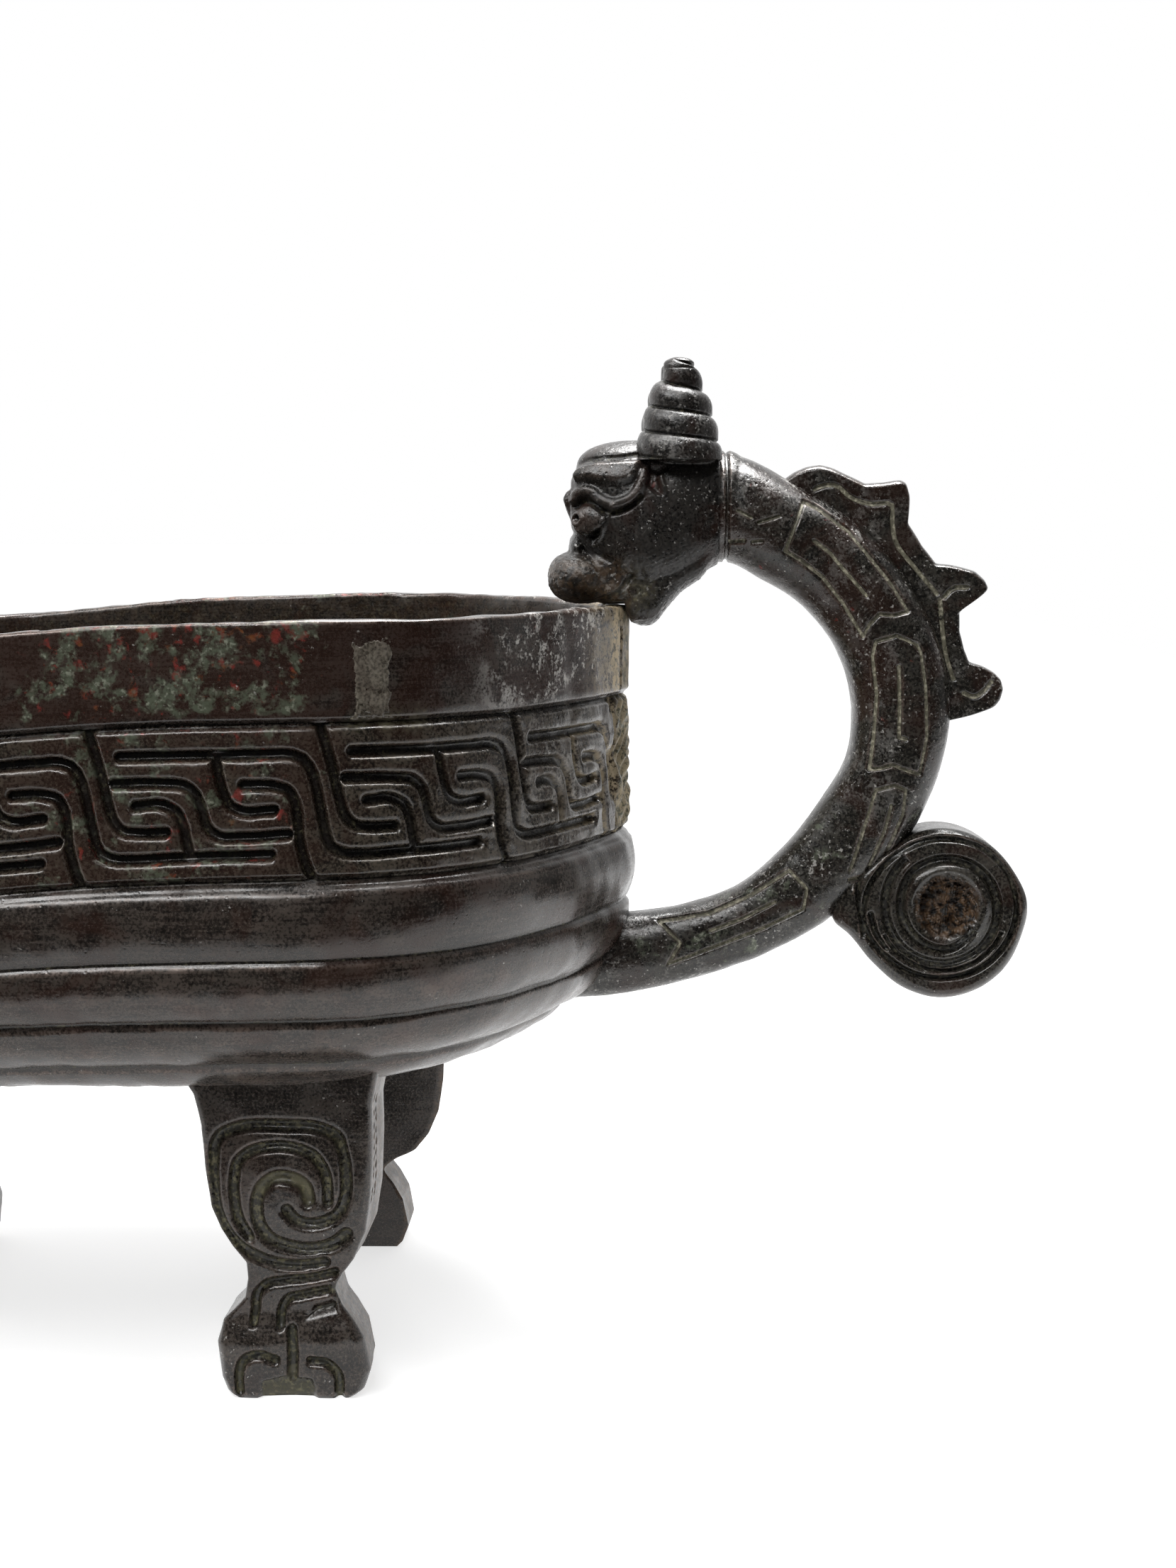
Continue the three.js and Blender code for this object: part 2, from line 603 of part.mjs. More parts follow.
function bodySolid() {
  const stations = bodyStations();
  const line = new THREE.CatmullRomCurve3(
    stations.map(([x, z]) => new THREE.Vector3(x, 0, z)), false, 'centripetal');
  const steps = 2 * (stations.length - 1);
  const sides = 16;
  const rings = Array.from({ length: steps + 1 }, (_, i) => {
    const place = i / steps * (stations.length - 1);
    const low = Math.min(stations.length - 2, Math.floor(place));
    const size = [2, 3].map((k) => mix(stations[low][k], stations[low + 1][k], place - low));
    const centre = line.getPoint(i / steps);
    const along = i === 0 ? new THREE.Vector3(1, 0, 0) : line.getTangent(i / steps);
    const up = new THREE.Vector3(-along.z, 0, along.x);
    return Array.from({ length: sides }, (__, k) => {
      const angle = (k / sides) * 2 * Math.PI;
      const [c, s] = [Math.cos(angle), Math.sin(angle)];
      const point = centre.clone().addScaledVector(up, size[0] * Math.sign(s) * Math.abs(s) ** 0.8);
      point.y += size[1] * Math.sign(c) * Math.abs(c) ** 0.8;
      return point;
    });
  });
  return toSolid(loft(rings));
}

// Three-lobed fin along the dragon's back, measured in shares of the loop's reach
// and of its rise from the middle of the loop to the neck.
function crestShape() {
  const rise = NECK_JOINT_HEIGHT - LOOP_MIDDLE_HEIGHT;
  const at = (reach, climb) => [reach * LOOP_REACH, LOOP_MIDDLE_HEIGHT + climb * rise];
  const shape = new THREE.Shape();
  const bend = (through, to) => shape.quadraticCurveTo(...through, ...to);
  shape.moveTo(...at(0.53, 1.05));
  bend(at(0.59, 1.205), at(0.69, 1.216));
  bend(at(0.755, 1.2), at(0.857, 1.121));
  shape.lineTo(...at(1, 1.137));
  bend(at(1.027, 1.121), at(1.024, 0.992));
  bend(at(1.035, 0.884), at(1.124, 0.726));
  bend(at(1.286, 0.721), at(1.322, 0.603));
  bend(at(1.286, 0.558), at(1.21, 0.497));
  bend(at(1.208, 0.353), at(1.253, 0.234));
  bend(at(1.373, 0.205), at(1.382, 0.105));
  bend(at(1.369, -0.029), at(1.157, -0.063));
  shape.lineTo(...at(1.02, 0));
  shape.lineTo(...at(0.94, 0.447));
  shape.lineTo(...at(0.706, 0.816));
  shape.closePath();
  return shape;
}

// Coiled tail: a round scroll with a web to the arm, carved with a winding groove.
function tailSolid() {
  const shape = new THREE.Shape();
  const rim = (angle) => [
    TAIL_X + TAIL_RADIUS * Math.cos(angle), TAIL_HEIGHT + TAIL_RADIUS * Math.sin(angle)];
  const [first, last] = [THREE.MathUtils.degToRad(103), THREE.MathUtils.degToRad(-145)];
  shape.moveTo(...rim(first));
  shape.absarc(TAIL_X, TAIL_HEIGHT, TAIL_RADIUS, first, last, true);
  shape.quadraticCurveTo(TAIL_X - 1.15 * TAIL_RADIUS, TAIL_HEIGHT - 0.2 * TAIL_RADIUS,
    TAIL_X - 1.32 * TAIL_RADIUS, TAIL_HEIGHT - 0.02 * TAIL_RADIUS);
  shape.lineTo(TAIL_X - 1.32 * TAIL_RADIUS, TAIL_HEIGHT + 0.6 * TAIL_RADIUS);
  shape.lineTo(TAIL_X - 0.6 * TAIL_RADIUS, TAIL_HEIGHT + 1.25 * TAIL_RADIUS);
  shape.closePath();
  const scroll = plate(shape, 2 * TAIL_HALF_WIDTH, 0, 0.2 * TAIL_HALF_WIDTH, 18);
  const winding = spiralRibbon(0.78 * TAIL_RADIUS, 0.3 * TAIL_RADIUS, 1.55, 2.6, TAIL_GROOVE, 34);
  return [-1, 1].reduce((solid, side) => {
    const groove = plate(winding, 2 * TAIL_GROOVE_DEPTH, side * TAIL_HALF_WIDTH)
      .translate([TAIL_X, 0, TAIL_HEIGHT]);
    return solid.subtract(groove);
  }, scroll);
}

function neckTenon(grow) {
  const z = NECK_JOINT_HEIGHT;
  const tip = NECK_JOINT_X - NECK_TENON_DEPTH - grow;
  return pin(NECK_TENON_RADIUS + grow, new THREE.Vector3(tip, 0, z),
    new THREE.Vector3(NECK_JOINT_X + 0.8 * NECK_TENON_DEPTH, 0, z), 18);
}

// Stub on the rear wall that the handle's lower end was cast over.
function armTenon(grow) {
  const wallX = rearWallX(ARM_ROOT_HEIGHT);
  return pin(ARM_TENON_RADIUS + grow, new THREE.Vector3(wallX - WALL * 0.5, 0, ARM_ROOT_HEIGHT),
    new THREE.Vector3(wallX + ARM_TENON_DEPTH + grow, 0, ARM_ROOT_HEIGHT + 0.12 * ARM_TENON_DEPTH));
}

// Where the outer rear wall stands at a height, on the plane of symmetry.
function rearWallX(z) {
  const station = { x: 0, y: 0, keelX: -REAR_LENGTH, normal: new THREE.Vector2(1, 0) };
  const points = sectionPoints(station, outerRows(), 0, 0);
  const below = points.findIndex((p) => p.z <= z);
  const [a, b] = [points[below - 1], points[below]];
  return mix(a.x, b.x, (a.z - z) / (a.z - b.z));
}

function handleSolid(bowlCutter) {
  const crest = plate(crestShape(), CREST_THICKNESS, 0, 0.15 * CREST_THICKNESS, 5);
  return union([bodySolid(), crest, tailSolid(), neckTenon(0)])
    .subtract(bowlCutter)
    .subtract(armTenon(CLEARANCE));
}

// Head

// Outlines are drawn in shares of the head: reach runs from the neck joint (0) to the
// snout (1), climb from the rim (0) to the crown (1).
function headSolid(rimCutter) {
  const at = (reach, climb) => [
    mix(NECK_JOINT_X, SNOUT_X, reach), mix(RIM_HEIGHT, CROWN_HEIGHT, climb)];
  const neckLow = NECK_JOINT_HEIGHT - NECK_HALF_HEIGHT;
  const hornFront = HORN_X - HORN_RADIUS - 2 * CLEARANCE;
  const forehead = CROWN_HEIGHT + FOREHEAD_RISE;
  const skull = new THREE.Shape();
  skull.moveTo(NECK_JOINT_X, neckLow);
  skull.lineTo(NECK_JOINT_X, CROWN_HEIGHT);
  skull.lineTo(hornFront, CROWN_HEIGHT);
  skull.lineTo(hornFront - 0.5 * FOREHEAD_RISE, forehead);
  skull.quadraticCurveTo(...at(0.96, 1.014), ...at(0.982, 0.824));
  skull.quadraticCurveTo(...at(0.996, 0.648), ...at(0.887, 0.44));
  skull.lineTo(...at(0.72, 0.335));
  skull.lineTo(mix(NECK_JOINT_X, SNOUT_X, 0.284), neckLow);
  skull.closePath();

  const jaw = new THREE.Shape();
  jaw.moveTo(...at(0.015, 0.577));
  jaw.lineTo(...at(0.902, 0.577));
  jaw.quadraticCurveTo(...at(1.01, 0.387), ...at(1, 0.042));
  jaw.lineTo(...at(0.567, 0.021));
  jaw.lineTo(...at(0.596, -0.113));
  jaw.quadraticCurveTo(...at(0.48, -0.211), ...at(0.393, -0.07));
  jaw.quadraticCurveTo(...at(0.305, 0.056), ...at(0.138, 0.134));
  jaw.quadraticCurveTo(...at(0.065, 0.176), ...at(0.015, 0.282));
  jaw.closePath();

  const noseFin = new THREE.Shape();
  noseFin.moveTo(...at(0.902, 0.81));
  noseFin.quadraticCurveTo(...at(1.076, 0.796), ...at(1.062, 0.683));
  noseFin.quadraticCurveTo(...at(1.025, 0.528), ...at(0.924, 0.408));
  noseFin.closePath();

  const ear = new THREE.Shape();
  ear.moveTo(...at(0.52, 0.93));
  ear.lineTo(...at(0.335, 0.93));
  ear.quadraticCurveTo(...at(0.298, 0.739), ...at(0.356, 0.62));
  ear.quadraticCurveTo(...at(0.502, 0.704), ...at(0.52, 0.93));

  const snoutHeight = RIM_HEIGHT + SNOUT_RADIUS + CLEARANCE;
  const pieces = [
    plate(skull, 2 * HEAD_HALF_WIDTH, 0, HEAD_EDGE, 5),
    plate(jaw, 2 * JAW_HALF_WIDTH, 0, HEAD_EDGE * 0.5, 5),
    plate(noseFin, NOSE_FIN_THICKNESS, 0, 0.18 * NOSE_FIN_THICKNESS, 4),
    pin(SNOUT_RADIUS, new THREE.Vector3(SNOUT_X, -SNOUT_HALF_WIDTH, snoutHeight),
      new THREE.Vector3(SNOUT_X, SNOUT_HALF_WIDTH, snoutHeight), 20),
  ];
  const sockets = [rimCutter, neckTenon(CLEARANCE)];
  for (const side of [-1, 1]) {
    const cheek = side * HEAD_HALF_WIDTH;
    const beside = (reach, climb, share) => {
      const [x, z] = at(reach, climb);
      return new THREE.Vector3(x, share * cheek, z);
    };
    const eye = new THREE.SphereGeometry(EYE_RADIUS, 14, 10);
    eye.translate(...beside(0.873, 0.563, 0.81).toArray());
    const brow = new THREE.QuadraticBezierCurve3(
      beside(0.982, 0.683, 0.84), beside(0.793, 0.792, 1.063), beside(0.524, 0.831, 0.984));
    const round = new THREE.Shape().absarc(0, 0, BROW_RADIUS, 0, 2 * Math.PI);
    const browGeometry = new THREE.ExtrudeGeometry(round, {
      steps: 8, extrudePath: brow, curveSegments: 4, bevelEnabled: false });
    pieces.push(toSolid(eye), toSolid(browGeometry));
    pieces.push(plate(ear, EAR_THICKNESS, cheek * 1.016, 0.19 * EAR_THICKNESS, 5));
    sockets.push(hornPeg(side, CLEARANCE));
  }
  return sockets.reduce((solid, cutter) => solid.subtract(cutter), union(pieces));
}

// Horns

function hornPeg(side, grow) {
  const y = side * HORN_SPREAD;
  const foot = CROWN_HEIGHT - HORN_PEG_DEPTH - grow;
  return pin(HORN_PEG_RADIUS + grow, new THREE.Vector3(HORN_X, y, foot),
    new THREE.Vector3(HORN_X, y, CROWN_HEIGHT + 0.5 * HORN_PEG_DEPTH), 12);
}

// A tapering horn wound in tiers, each turn stepping in from the one below.
function hornSolid(side) {
  const sides = 18;
  const levels = 15;
  const base = hornBase();
  const rings = Array.from({ length: levels + 1 }, (_, r) => {
    const t = r / levels;
    return Array.from({ length: sides }, (__, k) => {
      const angle = (k / sides) * 2 * Math.PI;
      const turn = HORN_TIERS * t + angle / (2 * Math.PI);
      const tier = clamp01((Math.floor(turn) + smooth((turn % 1) * 3)) / HORN_TIERS);
      const round = t > 0.94 ? 0.72 : 1;
      const radius = mix(HORN_RADIUS, HORN_TIP_RADIUS, mix(t, tier, 0.75)) * round;
      return new THREE.Vector3(HORN_X + radius * Math.cos(angle),
        side * HORN_SPREAD + radius * Math.sin(angle), base + t * HORN_HEIGHT);
    });
  });
  return toSolid(loft(rings)).add(hornPeg(side, 0));
}

const hornBase = () => CROWN_HEIGHT + CLEARANCE;

// Assembly

const bowlCutter = bowlForm({ grow: CLEARANCE, filled: true });
const rimCutter = bowlForm({ grow: CLEARANCE });
const legPlaces = [
  ['leg_rear_near', -REAR_LEG_FROM_REAR, -1, REAR_LEG_SPREAD],
  ['leg_rear_far', -REAR_LEG_FROM_REAR, 1, REAR_LEG_SPREAD],
  ['leg_front_near', -FRONT_LEG_FROM_REAR, -1, FRONT_LEG_SPREAD],
  ['leg_front_far', -FRONT_LEG_FROM_REAR, 1, FRONT_LEG_SPREAD],
];

const plainBowl = bowlForm({});
const spacerMiddle = rimHeightAt(-SPACER_FROM_REAR) - SPACER_DROP;
const spacerAt = (grow) => block(SPACER_WIDTH + 2 * grow, 0.6 * BOWL_HALF_WIDTH,
  SPACER_HEIGHT + 2 * grow, -SPACER_FROM_REAR, -BOWL_HALF_WIDTH, spacerMiddle);
const meander = meanderCutter();
const bowl = legPlaces
  .reduce((solid, [, x, side, spread]) => solid.add(legTenon(x, side * spread, 0)), plainBowl)
  .add(armTenon(0))
  .subtract(spacerAt(CLEARANCE))
  .subtract(meander)
  .subtract(meander.mirror([0, 1, 0]));

const yi = new THREE.Group();
yi.name = 'yi';
yi.add(toMesh('bowl', bowl, BRONZE));
yi.add(toMesh('rim_spacer', plainBowl.intersect(spacerAt(0)), BRONZE_GREEN));
for (const [name, x, side, spread] of legPlaces) {
  yi.add(toMesh(name, legSolid(x, side, spread, bowlCutter), BRONZE));
}
yi.add(toMesh('handle', handleSolid(bowlCutter), BRONZE));
yi.add(toMesh('dragon_head', headSolid(rimCutter), BRONZE));
yi.add(toMesh('horn_near', hornSolid(-1), BRONZE));
yi.add(toMesh('horn_far', hornSolid(1), BRONZE));

// The origin lies on the ground under the middle of the whole length.
yi.position.x = -(SPOUT_TIP_X + TAIL_END_X) / 2;

export default yi;
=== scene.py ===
"""Looks of a bronze yi: a four-legged pouring vessel with a dragon handle that bites the rim.

Shapes are worked out in millimetres, with x = 0 at the rear end of the rim, y = 0 on the
plane of symmetry and z = 0 on the ground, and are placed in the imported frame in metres.
"""

import logging
import math
from collections.abc import Iterable
from dataclasses import dataclass, field
from enum import Enum

import bmesh
import bpy
import numpy as np
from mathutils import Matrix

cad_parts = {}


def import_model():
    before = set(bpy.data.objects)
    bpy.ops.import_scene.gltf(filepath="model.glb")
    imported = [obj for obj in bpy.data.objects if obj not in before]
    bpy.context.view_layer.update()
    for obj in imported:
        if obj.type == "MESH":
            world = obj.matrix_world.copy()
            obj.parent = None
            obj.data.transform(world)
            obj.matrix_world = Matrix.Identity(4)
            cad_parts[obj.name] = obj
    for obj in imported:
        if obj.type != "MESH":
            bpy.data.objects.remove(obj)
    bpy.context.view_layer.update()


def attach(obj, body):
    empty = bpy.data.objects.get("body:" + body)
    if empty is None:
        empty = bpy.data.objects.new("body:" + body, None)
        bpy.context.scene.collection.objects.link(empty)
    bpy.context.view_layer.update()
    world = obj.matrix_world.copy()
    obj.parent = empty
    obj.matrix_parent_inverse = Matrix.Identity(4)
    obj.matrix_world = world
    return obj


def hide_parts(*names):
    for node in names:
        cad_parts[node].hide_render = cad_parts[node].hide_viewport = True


LOG = logging.getLogger("yi")
MM = 0.001
REAR_RIM_X = 86.85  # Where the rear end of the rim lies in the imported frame
BODY = "root"
GROOVE_EDGE = 0.58  # Half of a groove with its eased shoulders, in groove widths
WAVES = 9  # Waves that make up the swelling of a cast surface
WELD = 2e-6  # Vertices that lie closer than this, in metres, become one
SLIVER = 1e-7  # Faces that are narrower than this, in metres, are taken out
NOISE_ROUGHNESS = 0.6
MIX_SHARE, MIX_UNDER, MIX_OVER, MIX_RESULT = 0, 6, 7, 2  # Sockets of a colour mix

Array = np.ndarray
Line = tuple[tuple[float, float], ...]
Point = tuple[float, float, float]
Colour = tuple[float, float, float]
Stations = tuple[tuple[float, float, float, float], ...]
Span = tuple[float, float, float, float]  # Start, rise, end and fall of a soft window
Socket = bpy.types.NodeSocket


class Side(Enum):
    """The two long sides of the vessel; the near one faces the photographer."""

    NEAR = -1
    FAR = 1


class Stretch(Enum):
    """The two lengths that each side of the frieze is made in."""

    REAR = "rear"
    FRONT = "front"


# Small sums on arrays


def smooth(share: Array | float) -> Array:
    """A soft step from 0 to 1 as share goes from 0 to 1."""
    t = np.clip(share, 0.0, 1.0)
    return t * t * (3.0 - 2.0 * t)


def blend(a: Array | float, b: Array | float, share: Array | float) -> Array | float:
    """The value that lies share of the way from a to b."""
    return a + (b - a) * share


def window(value: Array, start: float, rise: float, end: float, fall: float) -> Array:
    """1 from start to end and 0 beyond, rising and falling softly inside those ends."""
    return smooth((value - start) / rise) * smooth((end - value) / fall)


def squared(value: Array, power: float | Array) -> Array:
    """Takes a circle's value toward a square's as power goes from 1 to 0."""
    return np.sign(value) * np.abs(value) ** power


def curve_through(points: Array | Line, count: int) -> Array:
    """Draws a smooth curve through points.

    Args:
        points: Rows of coordinates; the first two columns set the spacing.
        count: How many points the curve has.

    Returns:
        The curve's points, evenly spaced along the chords.
    """
    knots = np.asarray(points, float)
    steps = np.hypot(*np.diff(knots[:, :2], axis=0).T)
    places = np.concatenate([[0.0], np.cumsum(steps)])
    slopes = np.gradient(knots, places, axis=0)
    wanted = np.linspace(0.0, places[-1], count)
    index = np.clip(np.searchsorted(places, wanted, side="right") - 1, 0, len(places) - 2)
    span = (places[index + 1] - places[index])[:, None]
    t = (wanted - places[index])[:, None] / span
    start, end = knots[index], knots[index + 1]
    return (
        (2 * t**3 - 3 * t**2 + 1) * start
        + (t**3 - 2 * t**2 + t) * span * slopes[index]
        + (3 * t**2 - 2 * t**3) * end
        + (t**3 - t**2) * span * slopes[index + 1]
    )


def distance_to(across: Array, up: Array, line: Array | Line) -> Array:
    """Measures a flat drawing from its points to a line.

    Args:
        across: Places of the points from left to right.
        up: Their heights.
        line: Corners of the line, which has straight steps.

    Returns:
        Distance from each point to the nearest place on the line.
    """
    knots = np.asarray(line, float)
    nearest = np.full(np.shape(across), np.inf)
    for (ax, ay), (bx, by) in zip(knots[:-1], knots[1:]):
        dx, dy = bx - ax, by - ay
        length = max(dx * dx + dy * dy, 1e-12)
        t = np.clip(((across - ax) * dx + (up - ay) * dy) / length, 0.0, 1.0)
        nearest = np.minimum(nearest, np.hypot(across - ax - t * dx, up - ay - t * dy))
    return nearest


def inside_of(across: Array, up: Array, loop: Line, softness: float) -> Array:
    """Finds the points of a flat drawing that lie inside a closed loop.

    Args:
        across: Places of the points from left to right.
        up: Their heights.
        loop: Corners of the loop.
        softness: Distance inside the loop over which the values rise.

    Returns:
        Values from 0 outside to 1 well inside.
    """
    knots = np.asarray(loop + loop[:1], float)
    crossings = np.zeros(np.shape(across), bool)
    for (ax, ay), (bx, by) in zip(knots[:-1], knots[1:]):
        if ay != by:
            meets = ax + (up - ay) * (bx - ax) / (by - ay)
            crossings ^= ((ay > up) != (by > up)) & (across < meets)
    depth = np.where(crossings, distance_to(across, up, knots), 0.0)
    return smooth(depth / softness)


def channel(distance: Array, width: float, floor: float = 0.16) -> Array:
    """Depth of a cut groove, 1 along its floor and 0 beyond its edges."""
    return 1.0 - smooth((distance - floor * width) / ((GROOVE_EDGE - floor) * width))


def engraved(across: Array, up: Array, lines: Iterable[tuple[Line, float]], finer: int) -> Array:
    """Cuts grooves along drawn lines.

    Args:
        across: Places from left to right.
        up: Heights of the same places.
        lines: Each line with the width of its groove.
        finer: Points on an eased curve for each corner of its line; 0 keeps straight steps.

    Returns:
        How deep each place is cut, from 0 to 1.
    """
    cut = np.zeros(np.broadcast(across, up).shape)
    for line, width in lines:
        drawn = curve_through(line, finer * len(line)) if finer else line
        cut = np.maximum(cut, channel(distance_to(across, up, drawn), width))
    return cut


def unevenness(points: Array, size: float, seed: int) -> Array:
    """Soft swelling of a cast surface, the same at the same place on every piece.

    Args:
        points: Places in millimetres, with the coordinate in the last axis.
        size: About how wide the swellings are.
        seed: Picks one pattern out of many.

    Returns:
        Values around 0, mostly from -1 to 1.
    """
    chance = np.random.default_rng(seed)
    total = np.zeros(points.shape[:-1])
    for _ in range(WAVES):
        wave = chance.normal(size=3) * 2.0 * math.pi / size
        total += np.sin(points @ wave + chance.uniform(0.0, 2.0 * math.pi))
    return total / math.sqrt(WAVES)


def broad_swell(points: Array) -> Array:
    """The slow swelling that runs through the wall and all that is set into it."""
    return 0.16 * unevenness(points, 34.0, 3)


def fine_swell(points: Array) -> Array:
    """The smaller swelling of the plain outer wall."""
    return 0.07 * unevenness(points, 11.0, 4)


def outward(points: Array) -> Array:
    """Finds which way a closed sheet of points faces.

    Args:
        points: Sheet of places, rows by columns by 3.

    Returns:
        Unit normals that point out of the form.
    """
    along = np.gradient(points, axis=0)
    across = np.gradient(points, axis=1)
    normals = np.cross(across, along)
    volume = np.sum(np.einsum("ijk,ijk->ij", normals, points - points.mean((0, 1))))
    normals *= np.sign(volume) or 1.0
    return normals / np.maximum(np.linalg.norm(normals, axis=2, keepdims=True), 1e-9)


def wear(points: Array, reach: int, scale: float) -> tuple[Array, Array]:
    """Finds hollows and proud edges on a sheet of points.

    Args:
        points: Sheet of places, rows by columns by 3.
        reach: How many times the sheet is averaged with its neighbours.
        scale: Height in millimetres that counts as a full hollow or edge.

    Returns:
        Two sheets from 0 to 1: hollow, and edge.
    """
    even = points.copy()
    for _ in range(reach):
        padded = np.pad(even, ((1, 1), (1, 1), (0, 0)), mode="edge")
        even = (
            padded[:-2, 1:-1] + padded[2:, 1:-1] + padded[1:-1, :-2] + padded[1:-1, 2:]
            + 2.0 * even
        ) / 6.0
    height = np.einsum("ijk,ijk->ij", points - even, outward(points)) / scale
    return np.clip(-height, 0.0, 1.0), np.clip(height, 0.0, 1.0)


# Meshes


class Marks(Enum):
    """Names of the values that a piece carries at each vertex for its finish."""

    # Painted shade in hollows, cuts and the bowl's inside; earth also settles by this value
    HOLLOW = "hollow"
    EDGE = "edge"
    GREEN = "green"
    RED = "red"
    # Pale bloom and dust; at the rim band's rear end partly a painted sheen
    BLOOM = "bloom"
    OLIVE = "olive"
    EARTH = "earth"
    OCHRE = "ochre"


def in_frame(points: Array) -> Array:
    """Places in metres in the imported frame, as the plain list that a mesh takes."""
    return ((points + (REAR_RIM_X, 0.0, 0.0)) * MM).astype(np.float32).ravel()


def mark_up(mesh: bpy.types.Mesh, marks: dict[Marks, Array]) -> None:
    """Stores values for the finish at the vertices of a mesh.

    Args:
        mesh: The mesh.
        marks: One value per vertex for each mark.
    """
    for mark, values in marks.items():
        layer = mesh.attributes.new(mark.value, "FLOAT", "POINT")
        layer.data.foreach_set("value", values.astype(np.float32))


def formed(name: str, points: Array, marks: dict[Marks, Array]) -> bpy.types.Object:
    """Bends a flat grid into a closed piece.

    The grid's vertices go to the given places; edges that meet are welded and the ends
    that are left open are filled.

    Args:
        name: Name of the piece.
        points: Places in millimetres, rows by columns by 3.
        marks: Values for the finish, rows by columns.

    Returns:
        The finished object, at the origin.
    """
    rows, columns = points.shape[:2]
    sheet = bmesh.new()
    bmesh.ops.create_grid(sheet, x_segments=columns - 1, y_segments=rows - 1, size=1.0)
    mesh = bpy.data.meshes.new(name)
    sheet.to_mesh(mesh)
    sheet.free()
    flat = np.empty(3 * len(mesh.vertices), np.float32)
    mesh.vertices.foreach_get("co", flat)
    across = np.rint((flat[0::3] + 1.0) / 2.0 * (columns - 1)).astype(int)
    along = np.rint((flat[1::3] + 1.0) / 2.0 * (rows - 1)).astype(int)
    mesh.vertices.foreach_set("co", in_frame(points[along, across]))
    mark_up(mesh, {mark: values[along, across] for mark, values in marks.items()})
    close_up(mesh)
    return piece_of(name, mesh)


def close_up(mesh: bpy.types.Mesh) -> None:
    """Welds the edges of a mesh that meet, fills open ends and turns its faces outward.

    Args:
        mesh: The mesh, which is changed.
    """
    work = bmesh.new()
    work.from_mesh(mesh)
    bmesh.ops.remove_doubles(work, verts=work.verts, dist=WELD)
    bmesh.ops.dissolve_degenerate(work, dist=SLIVER, edges=work.edges)
    open_edges = [edge for edge in work.edges if edge.is_boundary]
    if open_edges:
        for edge in open_edges:
            edge.smooth = False
        caps = bmesh.ops.holes_fill(work, edges=open_edges, sides=0)["faces"]
        bmesh.ops.triangulate(work, faces=caps)
    bmesh.ops.recalc_face_normals(work, faces=work.faces)
    work.to_mesh(mesh)
    work.free()


def piece_of(name: str, mesh: bpy.types.Mesh) -> bpy.types.Object:
    """Puts a mesh into the scene as a smooth-shaded object.

    Args:
        name: Name of the piece.
        mesh: Its mesh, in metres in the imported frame.

    Returns:
        The object, at the origin.
    """
    mesh.shade_smooth()
    piece = bpy.data.objects.new(name, mesh)
    bpy.context.scene.collection.objects.link(piece)
    return piece


# Finishes


